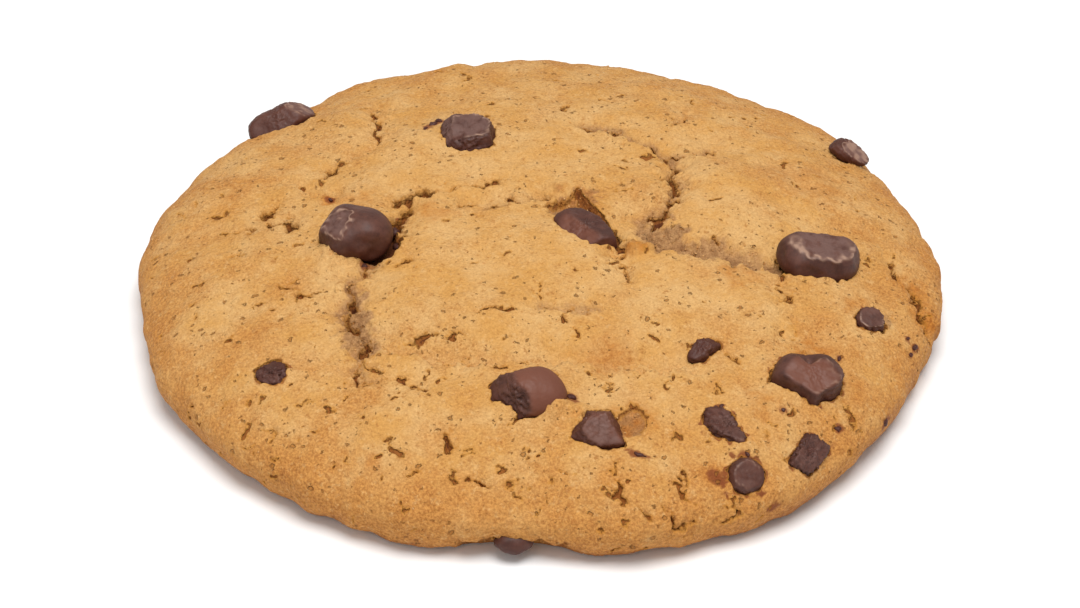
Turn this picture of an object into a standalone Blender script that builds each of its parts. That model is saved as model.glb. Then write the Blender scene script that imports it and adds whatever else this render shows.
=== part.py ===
import math

import bmesh
import bpy
from mathutils import Matrix, Vector

# A round drop cookie with chocolate chips set into its cracked, gently domed top.
# Sizes are in millimetres until the very end of each shape, where mm turns them into metres.
# The flat foot lies on z = 0 and the cookie is centred on the origin.

for thing in list(bpy.data.objects):
    bpy.data.objects.remove(thing, do_unlink=True)

mm = 0.001

cookieRadius = 47.0         # mean radius at the widest height
crownHeight = 12.6          # top of the dome over the foot
widestHeight = 4.2          # height at which the rim is widest
footInset = 3.2             # how far the foot lies inside the rim
crownPower = 2.8            # larger is flatter on top with a quicker roll at the rim
roundSteps = 80             # sides round the cookie
crownRings = 17             # rings from the middle of the top to the widest height
rimTurns = 5                # rings between the widest height and the foot
footRings = [30.0, 15.0, 0.0]
chipGap = 0.3               # clearance between a chip and its pocket
facetHardness = 0.92        # 1 cuts a chip's facet dead flat

# slow bulges of the outline: direction and half width in degrees, then how far it moves out
outlineBulges = [
    (85, 42, -1.2),
    (170, 11, 1.0),
    (143, 8, -0.8),
    (211, 10, 0.4),
    (267, 8, -1.9),
    (283, 6, 0.8),
    (304, 16, 1.7),
    (2, 9, 0.4),
]

# broad plates that rose in the oven: centre, radius, height
plates = [
    (-6.0, -9.0, 13.0, 0.7),
    (21.0, 6.0, 9.0, 1.0),
    (-13.0, 14.0, 9.0, 0.5),
    (19.0, -14.0, 9.0, 0.5),
    (-33.0, -8.0, 10.0, 0.4),
]

# sunken cracks between the plates: depth, half width, then the corners of its route
cracks = [
    (0.9, 1.6, [(-20.5, 26.0), (-20.3, 18.0), (-25.5, 12.0)]),
    (0.9, 1.6, [(-29.0, 9.5), (-24.7, 6.0)]),
    (1.9, 2.0, [(-16.5, -3.0), (-14.5, 4.0), (-4.0, 5.5), (3.5, 4.5)]),
    (2.2, 2.3, [(9.5, -5.0), (14.0, -4.0), (24.0, -6.5), (28.0, -12.0)]),
    (1.8, 2.0, [(12.5, -3.0), (16.5, 5.0), (15.0, 15.5), (9.0, 20.0)]),
    (2.0, 2.0, [(-19.5, -8.0), (-21.8, -17.0), (-19.8, -23.0), (-20.0, -27.0)]),
    (1.0, 2.2, [(-20.0, -23.0), (-6.0, -25.5), (8.0, -25.0), (17.0, -25.0)]),
]


def crownZ(share):
    # height of the plain dome at this share of the radius
    return widestHeight + (crownHeight - widestHeight) * math.sqrt(max(0.0, 1.0 - share ** crownPower))


def outlineRadius(angle):
    # mean radius plus every bulge, each fading as a bell curve with direction
    radius = cookieRadius
    for direction, halfWidth, outward in outlineBulges:
        turn = (math.degrees(angle) - direction + 180.0) % 360.0 - 180.0
        radius += outward * math.exp(-(turn / halfWidth) ** 2)
    return radius


def routeDistance(x, y, route):
    # shortest distance in plan from a point to a route of straight runs
    spot = Vector((x, y))
    nearest = 1000.0
    for start, end in zip(route[:-1], route[1:]):
        base = Vector(start)
        run = Vector(end) - base
        along = min(1.0, max(0.0, (spot - base).dot(run) / run.length_squared))
        nearest = min(nearest, (spot - base - run * along).length)
    return nearest


def relief(x, y):
    # plates lift and cracks sink the plain dome
    lift = 0.0
    for centreX, centreY, radius, height in plates:
        away = math.hypot(x - centreX, y - centreY) / radius
        lift += height * math.exp(-away ** 4)
    sink = 0.0
    for depth, halfWidth, route in cracks:
        away = routeDistance(x, y, route) / halfWidth
        sink = max(sink, depth * math.exp(-away ** 2))
    return lift - sink


def topHeight(x, y):
    # height of the finished top over a point in plan
    share = min(1.0, math.hypot(x, y) / outlineRadius(math.atan2(y, x)))
    return crownZ(share) + relief(x, y) * (1.0 - share ** 6)


def topNormal(x, y):
    # direction square to the top, from heights half a millimetre either side
    step = 0.5
    slopeX = (topHeight(x + step, y) - topHeight(x - step, y)) / (2 * step)
    slopeY = (topHeight(x, y + step) - topHeight(x, y - step)) / (2 * step)
    return Vector((-slopeX, -slopeY, 1.0)).normalized()


def makeMaterial(name, colour, roughness, coat):
    material = bpy.data.materials.new(name)
    material.use_nodes = True
    shader = material.node_tree.nodes["Principled BSDF"]
    shader.inputs["Base Color"].default_value = (*colour, 1.0)
    shader.inputs["Roughness"].default_value = roughness
    shader.inputs["Coat Weight"].default_value = coat
    material.diffuse_color = (*colour, 1.0)
    return material


cookie = bpy.data.collections.new("chocolate chip cookie")
bpy.context.scene.collection.children.link(cookie)
cutters = bpy.data.collections.new("chip pockets")
bpy.context.scene.collection.children.link(cutters)

doughMaterial = makeMaterial("baked_dough", (0.62, 0.36, 0.14), 0.85, 0.0)
chocolateMaterial = makeMaterial("chocolate", (0.05, 0.022, 0.015), 0.45, 0.1)


def profilePoints():
    # crown from the middle out, quarter ellipse under the rim, then the flat foot
    points = [(0.0, crownHeight)]
    for ring in range(1, crownRings + 1):
        even = ring / crownRings
        share = 0.5 * even + 0.5 * math.sin(0.5 * math.pi * even)   # rings crowd towards the rim
        points.append((cookieRadius * share, crownZ(share)))
    for turn in range(1, rimTurns + 1):
        angle = 0.5 * math.pi * turn / rimTurns
        inward = footInset * (1.0 - math.cos(angle))
        points.append((cookieRadius - inward, widestHeight * (1.0 - math.sin(angle))))
    for radius in footRings:
        points.append((radius, 0.0))
    return points


def makeTurnedBlank():
    # the profile is a wire of joined points, turned about Z
    points = profilePoints()
    wire = bpy.data.meshes.new("cookie profile")
    corners = [(x * mm, 0.0, z * mm) for x, z in points]
    edges = [(index, index + 1) for index in range(len(points) - 1)]
    wire.from_pydata(corners, edges, [])
    blank = bpy.data.objects.new("dough", wire)
    cookie.objects.link(blank)
    turn = blank.modifiers.new("turn", "SCREW")
    turn.axis = "Z"
    turn.angle = 2 * math.pi
    turn.steps = roundSteps
    turn.render_steps = roundSteps
    turn.use_merge_vertices = True
    turn.merge_threshold = 0.00005
    return blank


def shapeDough(blank):
    # the turned blank gets its uneven outline, plates and cracks
    graph = bpy.context.evaluated_depsgraph_get()
    mesh = bpy.data.meshes.new_from_object(blank.evaluated_get(graph))
    blank.modifiers.clear()
    blank.data = mesh
    for vertex in mesh.vertices:
        x = vertex.co.x / mm
        y = vertex.co.y / mm
        angle = math.atan2(y, x)
        share = math.hypot(x, y) / cookieRadius
        stretch = 1.0 + (outlineRadius(angle) / cookieRadius - 1.0) * share ** 2
        x *= stretch
        y *= stretch
        onTop = vertex.co.z / mm > widestHeight + 0.01
        height = vertex.co.z / mm
        if onTop:
            height += relief(x, y) * (1.0 - share ** 6)
        vertex.co = Vector((x, y, height)) * mm
    shaper = bmesh.new()
    shaper.from_mesh(mesh)
    bmesh.ops.recalc_face_normals(shaper, faces=shaper.faces)
    shaper.to_mesh(mesh)
    shaper.free()
    mesh.materials.append(doughMaterial)


# every chip: place in plan, rise of its middle over the dough, half sizes, turn in degrees,
# then its flats, each as a direction in the chip and the distance of the flat from the middle
chips = {
    "chip_back_left": {
        "place": (-32.3, 27.8), "rise": 0.5, "half": (4.4, 3.1, 2.3), "turn": 28, "steps": 14,
        "flats": [((0.5, 0.2, 0.8), 2.1)],
    },
    "chip_top": {
        "place": (-8.7, 18.0), "rise": 0.5, "half": (4.2, 3.2, 2.4), "turn": -12, "steps": 14,
        "flats": [((0.1, -0.35, 0.93), 1.5), ((0.95, -0.2, 0.2), 3.5)],
    },
    "chip_back_right": {
        "place": (38.0, 20.5), "rise": 0.6, "half": (2.8, 2.2, 1.7), "turn": -25, "steps": 12,
        "flats": [((0.2, 0.1, 0.97), 1.4)],
    },
    "chip_left": {
        "place": (-21.0, -3.3), "rise": 1.1, "half": (5.0, 3.8, 3.0), "turn": -28, "steps": 14,
        "flats": [((-0.62, 0.1, 0.78), 2.6)],
    },
    "chip_middle": {
        "place": (5.6, -1.0), "rise": -0.8, "half": (5.0, 2.7, 2.0), "turn": -48, "steps": 14,
        "flats": [((-0.2, 0.5, 0.84), 1.5)],
    },
    "chip_right": {
        "place": (32.4, -5.6), "rise": 0.9, "half": (5.1, 3.9, 2.8), "turn": 8, "steps": 14,
        "flats": [((-0.1, 0.25, 0.96), 1.9)],
    },
    "chip_right_stub": {
        "place": (37.7, -14.9), "rise": 0.1, "half": (1.8, 1.6, 1.6), "turn": 0, "steps": 12,
        "flats": [((0.1, 0.1, 0.99), 1.1)],
    },
    "chip_small_middle": {
        "place": (18.3, -23.2), "rise": -0.1, "half": (2.3, 1.3, 1.3), "turn": 52, "steps": 12,
        "flats": [((0.5, 0.0, 0.86), 1.1)],
    },
    "chip_lower_right": {
        "place": (29.9, -26.5), "rise": 0.5, "half": (4.3, 3.6, 2.6), "turn": 10, "steps": 14,
        "flats": [((0.0, -0.3, 0.95), 1.9)],
    },
    "chip_near_middle": {
        "place": (-1.3, -31.1), "rise": 0.2, "half": (4.4, 3.5, 2.5), "turn": -5, "steps": 14,
        "flats": [((-0.6, -0.4, 0.7), 2.2)],
    },
    "chip_near_cone": {
        "place": (6.3, -35.7), "rise": 0.2, "half": (3.6, 3.0, 2.4), "turn": 0, "steps": 14,
        "flats": [((-0.6, -0.5, 0.62), 1.7), ((0.55, -0.4, 0.73), 1.8)],
    },
    "chip_left_sunken": {
        "place": (-29.8, -25.1), "rise": -0.6, "half": (2.3, 1.6, 1.3), "turn": -42, "steps": 12,
        "flats": [((0.3, 0.2, 0.93), 1.0)],
    },
    "chip_near_long": {
        "place": (20.3, -34.2), "rise": -0.5, "half": (3.1, 1.8, 1.5), "turn": -58, "steps": 12,
        "flats": [((0.0, 0.2, 0.98), 1.0)],
    },
    "chip_near_square": {
        "place": (29.4, -35.9), "rise": -0.3, "half": (3.4, 2.0, 1.5), "turn": 48, "steps": 12,
        "flats": [((0.0, 0.0, 1.0), 1.0), ((0.0, 1.0, 0.1), 1.6), ((0.0, -1.0, 0.1), 1.6)],
    },
    "chip_near_round": {
        "place": (22.3, -40.1), "rise": 0.1, "half": (2.5, 2.2, 1.6), "turn": 10, "steps": 12,
        "flats": [((0.3, 0.3, 0.9), 1.4)],
    },
    "chip_under_lip": {
        "place": (-2.7, -44.5), "rise": 0.0, "half": (2.2, 1.7, 1.3), "turn": 0, "steps": 12,
        "flats": [((0.0, 0.3, 0.95), 1.1)], "height": 2.2,
    },
}


def chipMatrix(chip):
    # the chip's own Z points along the dough's normal, and the chip is turned about it
    x, y = chip["place"]
    if "height" in chip:
        middle = Vector((x, y, chip["height"]))
        upright = Vector((0.0, 0.0, 1.0))
    else:
        upright = topNormal(x, y)
        middle = Vector((x, y, topHeight(x, y))) + upright * chip["rise"]
    lean = Vector((0.0, 0.0, 1.0)).rotation_difference(upright).to_matrix().to_4x4()
    turn = Matrix.Rotation(math.radians(chip["turn"]), 4, "Z")
    return Matrix.Translation(middle) @ lean @ turn


def makeChip(name, chip, grow, collection):
    # a ball stretched to the half sizes, pressed to its flats and set in place
    shaper = bmesh.new()
    bmesh.ops.create_uvsphere(shaper, u_segments=chip["steps"], v_segments=chip["steps"] // 2 + 2, radius=1.0)
    stretch = Vector(chip["half"]) + Vector((grow, grow, grow))
    for vertex in shaper.verts:
        spot = Vector((vertex.co.x * stretch.x, vertex.co.y * stretch.y, vertex.co.z * stretch.z))
        for direction, distance in chip["flats"]:
            flat = Vector(direction).normalized()
            over = spot.dot(flat) - distance - grow
            if over > 0.0:
                spot -= flat * over * facetHardness
        vertex.co = spot
    bmesh.ops.transform(shaper, matrix=Matrix.Scale(mm, 4) @ chipMatrix(chip), verts=shaper.verts)
    bmesh.ops.recalc_face_normals(shaper, faces=shaper.faces)
    mesh = bpy.data.meshes.new(name)
    shaper.to_mesh(mesh)
    shaper.free()
    body = bpy.data.objects.new(name, mesh)
    collection.objects.link(body)
    return body


dough = makeTurnedBlank()
shapeDough(dough)

for name, chip in chips.items():
    body = makeChip(name, chip, 0.0, cookie)
    body.data.materials.append(chocolateMaterial)
    pocket = makeChip("pocket of " + name, chip, chipGap, cutters)
    pocket.hide_render = True
    pocket.display_type = "WIRE"
    cut = dough.modifiers.new("pocket of " + name, "BOOLEAN")
    cut.operation = "DIFFERENCE"
    cut.solver = "EXACT"
    cut.object = pocket
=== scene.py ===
import math

import bpy
import numpy as np
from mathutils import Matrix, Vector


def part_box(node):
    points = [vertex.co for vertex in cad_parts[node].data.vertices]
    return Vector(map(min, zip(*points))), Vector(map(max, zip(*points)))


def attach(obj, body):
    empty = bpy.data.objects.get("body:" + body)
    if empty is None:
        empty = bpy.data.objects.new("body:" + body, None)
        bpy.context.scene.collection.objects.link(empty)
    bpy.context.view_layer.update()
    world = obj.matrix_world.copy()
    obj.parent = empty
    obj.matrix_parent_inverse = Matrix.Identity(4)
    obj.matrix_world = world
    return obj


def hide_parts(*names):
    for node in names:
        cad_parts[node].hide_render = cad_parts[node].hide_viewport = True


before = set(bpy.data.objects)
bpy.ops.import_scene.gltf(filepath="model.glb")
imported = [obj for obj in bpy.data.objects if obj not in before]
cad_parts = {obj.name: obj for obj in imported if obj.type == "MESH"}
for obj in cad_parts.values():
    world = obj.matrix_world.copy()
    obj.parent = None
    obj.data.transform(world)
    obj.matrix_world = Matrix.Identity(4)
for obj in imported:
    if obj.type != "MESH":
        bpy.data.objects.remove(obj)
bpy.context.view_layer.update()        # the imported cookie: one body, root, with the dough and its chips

# A large drop cookie with chocolate chips. Shapes are worked out in millimetres and made metres at the end.
# The top is drawn on an unrolled sheet: a point's distance from the middle there is its distance along
# the crust, over the crown and round the rim, so nothing is stretched where the rim turns under.

mm = 0.001

cookie = {
    "radius": 47.0,      # mean radius at the widest height
    "crown": 12.6,       # top of the dome over the foot
    "widest": 4.2,       # height where the rim is widest
    "foot": 3.2,         # how far the foot lies inside the rim
    "power": 2.8,        # larger is flatter on top with a quicker roll at the rim
    # slow bulges of the outline: direction and half width in degrees, outward mm
    "bulges": [(85, 42, -1.2), (170, 11, 1.0), (143, 8, -0.8), (211, 10, 0.4), (267, 8, -1.9),
               (283, 6, 0.8), (304, 16, 1.7), (2, 9, 0.4)],
    # broad plates that rose in the oven: centre, radius, height
    "plates": [(-6.0, -9.0, 13.0, 0.7), (21.0, 6.0, 9.0, 1.0), (-13.0, 14.0, 9.0, 0.5),
               (19.0, -14.0, 9.0, 0.5), (-33.0, -8.0, 10.0, 0.4), (11.3, -5.3, 1.6, 0.8)],
}


def softStep(low, high, value):
    # smooth ramp from 0 at low to 1 at high: three t squared less two t cubed
    t = np.clip((value - low) / (high - low), 0.0, 1.0)
    return t * t * (3.0 - 2.0 * t)


def turnFrom(degrees, direction):
    # degrees either side of a direction, from -180 to 180
    return (degrees - direction + 180.0) % 360.0 - 180.0


crownRows = 4000         # how finely the crown's curve is tabled


def profileTable(rows=crownRows):
    # crown: height is the widest height plus the rise times the root of 1 less share to the power;
    # under the rim: a quarter ellipse down to the foot; arc is the running length along both
    swing = np.linspace(0.0, 0.5 * math.pi, rows)
    share = np.sin(swing) ** (2.0 / cookie["power"])
    radius = cookie["radius"] * share
    height = cookie["widest"] + (cookie["crown"] - cookie["widest"]) * np.cos(swing)
    under = np.linspace(0.0, 0.5 * math.pi, rows // 4)[1:]
    radius = np.append(radius, cookie["radius"] - cookie["foot"] * (1.0 - np.cos(under)))
    height = np.append(height, cookie["widest"] * (1.0 - np.sin(under)))
    arc = np.append(0.0, np.cumsum(np.hypot(np.diff(radius), np.diff(height))))
    return arc, radius, height, arc[rows - 1]


profileArc, profileRadius, profileHeight, rimArc = profileTable()
footArc = profileArc[-1]


def outlineRadius(angle):
    # mean radius plus every bulge, each a bell curve of direction
    degrees = np.degrees(angle)
    radius = np.full_like(degrees, cookie["radius"])
    for direction, halfWidth, outward in cookie["bulges"]:
        radius += outward * np.exp(-(turnFrom(degrees, direction) / halfWidth) ** 2)
    return radius


def blankPoint(p, q):
    # smooth cookie: distance on the sheet gives radius and height, then the outline stretches it sideways
    arc = np.hypot(p, q)
    angle = np.arctan2(q, p)
    radius = np.interp(arc, profileArc, profileRadius)
    height = np.interp(arc, profileArc, profileHeight)
    radius = radius * (1.0 + (outlineRadius(angle) / cookie["radius"] - 1.0) * (radius / cookie["radius"]) ** 2)
    return np.stack([radius * np.cos(angle), radius * np.sin(angle), height], -1)


def blankNormal(p, q, step=0.4):
    # square to the smooth cookie: cross product of the two slopes, each from points either side
    alongP = blankPoint(p + step, q) - blankPoint(p - step, q)
    alongQ = blankPoint(p, q + step) - blankPoint(p, q - step)
    normal = np.cross(alongP, alongQ)
    return normal / np.linalg.norm(normal, axis=-1, keepdims=True)


def unroll(x, y):
    # plan to sheet: the same direction, with the radius changed for the length along the crust
    radius = math.hypot(x, y)
    arc = float(np.interp(radius, profileRadius[:crownRows], profileArc[:crownRows]))
    scale = arc / max(radius, 1e-6)
    return x * scale, y * scale


# the sheet carries the crust's relief and colour masks
sheet = {"cells": 1024, "half": 60.0}      # 0.12 mm a cell
cellSize = 2.0 * sheet["half"] / sheet["cells"]
sheetAxis = (np.arange(sheet["cells"]) + 0.5) * cellSize - sheet["half"]
sheetP, sheetQ = np.meshgrid(sheetAxis, sheetAxis)
sheetArc = np.hypot(sheetP, sheetQ)
sheetAngle = np.degrees(np.arctan2(sheetQ, sheetP))


def noiseSheet(seed, shortest, longest):
    # white noise kept between two wavelengths in mm, the long waves stronger, scaled to a spread of one
    cells = sheet["cells"]
    waves = np.fft.rfft2(np.random.default_rng(seed).standard_normal((cells, cells)))
    rate = np.hypot(np.fft.fftfreq(cells, cellSize)[:, None], np.fft.rfftfreq(cells, cellSize)[None, :])
    rate[0, 0] = 1.0
    waves *= np.exp(-(shortest * rate) ** 4) * (1.0 - np.exp(-(longest * rate) ** 4)) * rate ** -1.0
    waves[0, 0] = 0.0
    noise = np.fft.irfft2(waves, s=(cells, cells))
    return noise / noise.std()


def readSheet(values, p, q):
    # value at any spot of the sheet, blended from the four cells round it
    column = np.clip((p + sheet["half"]) / cellSize - 0.5, 0, sheet["cells"] - 1.001)
    row = np.clip((q + sheet["half"]) / cellSize - 0.5, 0, sheet["cells"] - 1.001)
    c = column.astype(int)
    r = row.astype(int)
    u = column - c
    v = row - r
    low = values[r, c] * (1 - u) + values[r, c + 1] * u
    high = values[r + 1, c] * (1 - u) + values[r + 1, c + 1] * u
    return low * (1 - v) + high * v


def windowAt(p, q, reach):
    # the block of sheet cells within reach of a spot
    low = [int((value - reach + sheet["half"]) / cellSize) for value in (p, q)]
    high = [int((value + reach + sheet["half"]) / cellSize) + 1 for value in (p, q)]
    low = [max(0, value) for value in low]
    high = [min(sheet["cells"], value) for value in high]
    return slice(low[1], high[1]), slice(low[0], high[0])


# what a user would change on the crust
crust = {
    "swell": 0.17,         # mm, slow unevenness 9 to 26 mm across
    "lump": 0.085,         # mm, lumps 3 to 9 mm across
    "dimple": 0.022,       # mm, roughness 1 to 3 mm across
    "tooth": 0.012,        # mm, the finest modelled roughness
    "crumb": 0.13,         # mm, how rough broken crumb is
    "wander": 0.55,        # mm, how far a crack strays from its route
    "stray": 0.15,         # mm, the finest of that
    "valley": 1.5,         # deepens every crack's valley
    "crackLip": 0.22,      # how high the near side of a crack stands, as a share of its depth
    "slitWiden": 1.45,     # widens every crack's slit
    "hairline": 0.22,      # mm, depth of the finest cracks
    "grid": 560,           # cells along each side of the crust
    "triangles": 186000,
    "rings": 60,           # rings of the underside
    "hollow": 0.12,        # mm, how far the underside lies off the tray
}

bursts = {
    "count": 240,          # burst bubbles over the whole crust
    "length": 0.38,        # mm, one stroke of a middling burst
    "width": 0.105,        # mm, half width
    "depth": 0.32,         # mm
    "strokes": (0.55, 0.20, 0.15, 0.10),       # how many bursts in one have 1, 2, 3 and 4 strokes
    # chance of one anywhere, and what patchy ground, the rim and the front add
    "anywhere": 0.16, "patchy": 0.16, "nearRim": 0.30, "inFront": 0.45,
}

# browning from 0 to 1: what the shoulder, rim and foot add, slow and fine unevenness, and the whole crust
baking = {"shoulder": 0.22, "rim": 0.30, "foot": 0.42, "slow": 0.10, "fine": 0.06, "all": 0.05}

# cracks: route in plan mm, valley half width and depth, slit half width and depth, broken crumb 0 to 1,
# and how much of the slit stands open 0 to 1
cracks = [
    ([(-20.3, 27), (-20.5, 22.7), (-19.7, 19), (-20.7, 16.3), (-24.2, 14.6)], 1.5, 0.55, 0.17, 0.5, 0.2, 0.7),
    ([(-24.6, 14.6), (-25.9, 10.8)], 1.2, 0.5, 0.22, 1.0, 0.2, 1.0),
    ([(-28.7, 10), (-27, 8), (-24.9, 6.4)], 1.3, 0.6, 0.14, 0.3, 0.2, 0.4),
    ([(-30.4, 1.5), (-29.2, 0.8), (-28.6, -0.4)], 1.0, 0.5, 0.55, 1.3, 0.0, 1.0),
    ([(-36.6, 1.0), (-34.9, 1.4), (-33.6, 0.7)], 0.9, 0.2, 0.16, 0.5, 0.0, 1.0),
    ([(-16.2, -2.5), (-16, 0.8), (-16, 3.6)], 1.1, 0.5, 0.3, 1.0, 0.3, 0.8),
    ([(-16.6, 0.4), (-16.2, 2.3), (-15.9, 3.6)], 1.3, 0.7, 0.55, 1.6, 0.3, 1.0),
    ([(-15.9, 5.3), (-14.3, 6.1), (-13.2, 5.6)], 1.4, 0.5, 0.62, 1.6, 0.3, 1.0),
    ([(-13, 5.6), (-9.7, 7.6), (-7.3, 7.6), (-4.3, 8.8)], 1.3, 0.45, 0.20, 0.6, 0.2, 0.85),
    ([(-8.6, 3.6), (-6.3, 3.4), (-3.6, 3.9), (-1, 5.4), (1.8, 5.0)], 1.4, 0.8, 0.3, 0.8, 0.3, 0.7),
    ([(-4.1, 3.7), (-3.3, 4.2)], 0.9, 0.3, 0.55, 1.2, 0.4, 1.0),
    ([(9.1, -3.0), (9.7, -7.3)], 1.2, 0.7, 0.2, 0.5, 0.2, 0.4),
    ([(9.8, -8.3), (10, -11.4)], 0.9, 0.4, 0.2, 1.0, 0.1, 1.0),
    ([(12.7, -0.7), (13.7, -4), (16.7, -5.6), (20.7, -5.5), (24, -6.7), (27, -7.6)], 2.1, 1.35, 0.2, 0.4, 0.9, 0.3),
    ([(27, -7.6), (28, -10), (27.8, -12)], 1.2, 0.6, 0.16, 0.5, 0.2, 0.5),
    ([(27.9, -12.2), (27.7, -14)], 0.9, 0.3, 0.26, 0.9, 0.1, 1.0),
    ([(29.3, -15.7), (28.3, -19.3), (27.3, -20.7)], 1.3, 0.3, 0.12, 0.3, 0.1, 0.3),
    ([(15.7, 15.3), (16.4, 12.7), (15.8, 8.7), (16.8, 6.7), (15.6, 4), (14, 0.7), (12.7, -0.7)],
     1.4, 0.95, 0.30, 0.8, 0.6, 0.65),
    ([(5.3, 21.7), (8.7, 20.7), (11, 18.7), (13.3, 17.3), (15.7, 15.3)], 1.1, 0.6, 0.24, 0.6, 0.75, 1.0),
    ([(15.7, 15.3), (20, 15.7), (22.3, 17)], 1.0, 0.6, 0.26, 0.6, 0.65, 1.0),
    ([(-19.3, -7.6), (-20.1, -9.6), (-21.3, -10.9)], 1.4, 0.8, 0.16, 0.6, 0.6, 1.0),
    ([(-21.3, -10.7), (-21.1, -13), (-21.5, -15.6)], 1.4, 1.0, 0.28, 1.0, 0.8, 1.0),
    ([(-21.5, -15.6), (-21.8, -16.6), (-20.8, -19.3), (-19.6, -20.6), (-19.3, -23.4)], 1.7, 1.2, 0.20, 0.8, 0.8, 1.0),
    ([(-19.3, -23.4), (-20.3, -25), (-19.2, -28.2)], 1.3, 0.7, 0.16, 0.6, 0.5, 1.0),
    ([(-18.6, -20.3), (-16, -23), (-12.7, -24.2), (-8.7, -25.3), (-3.3, -25), (3.3, -25.2), (10, -25.8), (16, -25.3)],
     1.9, 0.8, 0.1, 0.15, 0.22, 0.15),
    ([(-14.7, -21.8), (-12, -21.1), (-10.4, -21), (-8.7, -21.7)], 1.1, 0.35, 0.2, 0.6, 0.1, 0.9),
    ([(-17.7, -26.8), (-15.3, -27.7), (-12.7, -29.5)], 1.1, 0.3, 0.17, 0.5, 0.1, 0.7),
    ([(-8, -24.7), (-6, -25.8), (-2.7, -26.8)], 1.1, 0.25, 0.14, 0.4, 0.1, 0.6),
    ([(-7.3, -18), (-4, -17.4), (-2.6, -16.6)], 0.9, 0.2, 0.15, 0.5, 0.15, 0.6),
    ([(0.4, -16.6), (2.7, -17.3), (6.2, -16.8)], 1.2, 0.35, 0.15, 0.4, 0.5, 0.5),
    ([(3, -17.6), (4, -21.8)], 0.9, 0.25, 0.13, 0.4, 0.1, 0.6),
    ([(0, -13.2), (0.3, -15.8)], 0.8, 0.2, 0.13, 0.4, 0.0, 0.8),
    ([(-29.4, -10.6), (-27, -11.9), (-25.2, -12.9)], 1.1, 0.4, 0.2, 0.6, 0.1, 0.8),
    ([(-31.5, 5.5), (-32.5, 2.6)], 1.0, 0.3, 0.3, 1.6, 0.0, 1.0),
    ([(-15.4, -7.6), (-14.6, -9)], 0.9, 0.3, 0.26, 0.9, 0.2, 1.0),
    ([(20.8, -23.4), (21.8, -24.5)], 0.8, 0.2, 0.2, 0.7, 0.2, 1.0),
    ([(2.8, 27.3), (3.5, 25)], 0.8, 0.25, 0.18, 0.6, 0.1, 0.9),
    ([(16.2, 22.8), (18.3, 24.6)], 0.9, 0.3, 0.2, 0.6, 0.3, 0.8),
    ([(26, 26.4), (25.9, 23)], 0.8, 0.2, 0.13, 0.5, 0.1, 0.6),
    ([(41.4, -3.2), (42.3, -5.6), (43.6, -7.0), (44.5, -9.5), (44.7, -12.6)], 1.2, 0.5, 0.30, 1.1, 0.0, 1.0),
    # short cracks of the near rim and lower right
    ([(-7.4, -42.2), (-6.4, -42.6), (-5.6, -43.9)], 0.9, 0.25, 0.14, 0.7, 0.1, 1.0),
    ([(-4.0, -43.4), (-2.9, -43.7)], 0.8, 0.2, 0.14, 0.5, 0.1, 1.0),
    ([(7.6, -42.2), (8.9, -43.6)], 0.8, 0.2, 0.11, 0.6, 0.1, 1.0),
    ([(9.8, -43.8), (11.6, -44.5)], 0.8, 0.2, 0.10, 0.5, 0.1, 1.0),
    ([(12.6, -43.8), (13.8, -44.1), (14.5, -45.0), (16.0, -45.8)], 0.9, 0.3, 0.14, 0.7, 0.1, 1.0),
    ([(15.3, -39.2), (15.6, -40.9)], 0.8, 0.25, 0.12, 0.6, 0.1, 1.0),
    ([(14.1, -41.3), (15.3, -41.6), (16.0, -42.6)], 0.8, 0.2, 0.12, 0.4, 0.1, 0.9),
    ([(2.2, -41.2), (3.1, -41.9)], 0.8, 0.2, 0.13, 0.4, 0.0, 1.0),
    ([(-9.8, -41.3), (-8.9, -42.0)], 0.8, 0.2, 0.12, 0.4, 0.0, 1.0),
    ([(20.1, -43.2), (21.3, -43.0), (22.2, -44.0)], 0.8, 0.2, 0.14, 0.5, 0.0, 1.0),
    ([(-10.4, -36.2), (-9.4, -38)], 0.9, 0.2, 0.25, 0.7, 0.2, 0.8),
    ([(-36, -3), (-33.6, -4.4)], 1.0, 0.3, 0.16, 0.5, 0.2, 0.6),
]

# hollows: corners in plan mm, anticlockwise, depth, broken crumb, and for each side the half width in mm of a line of
# painted shade along its foot
hollows = [
    ([(0.3, 3.0), (3.6, -1.0), (8.8, -3.6), (9.9, -3.0), (4.4, 6.9)], 1.25, 1.0, (0, 0, 0, 0.30, 0.08)),
    ([(7.9, -33.6), (8.6, -36.4), (11.2, -35.8), (12.0, -33.0), (10.0, -31.2)], 0.55, 0.9, (0, 0, 0.05, 0.06, 0.10)),
]

# folds, the lip on the right with a notch at its near end and the one over the chip under the near rim: middle
# direction and half width, how many degrees each end takes to fade, mm out, mm in, and mm past the rim's edge
folds = [(-2.6, 9.0, 0.8, 5.0, 0.35, 1.2, 1.0), (-93.0, 6.5, 2.0, 3.0, 0.5, 1.3, 1.5)]

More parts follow.
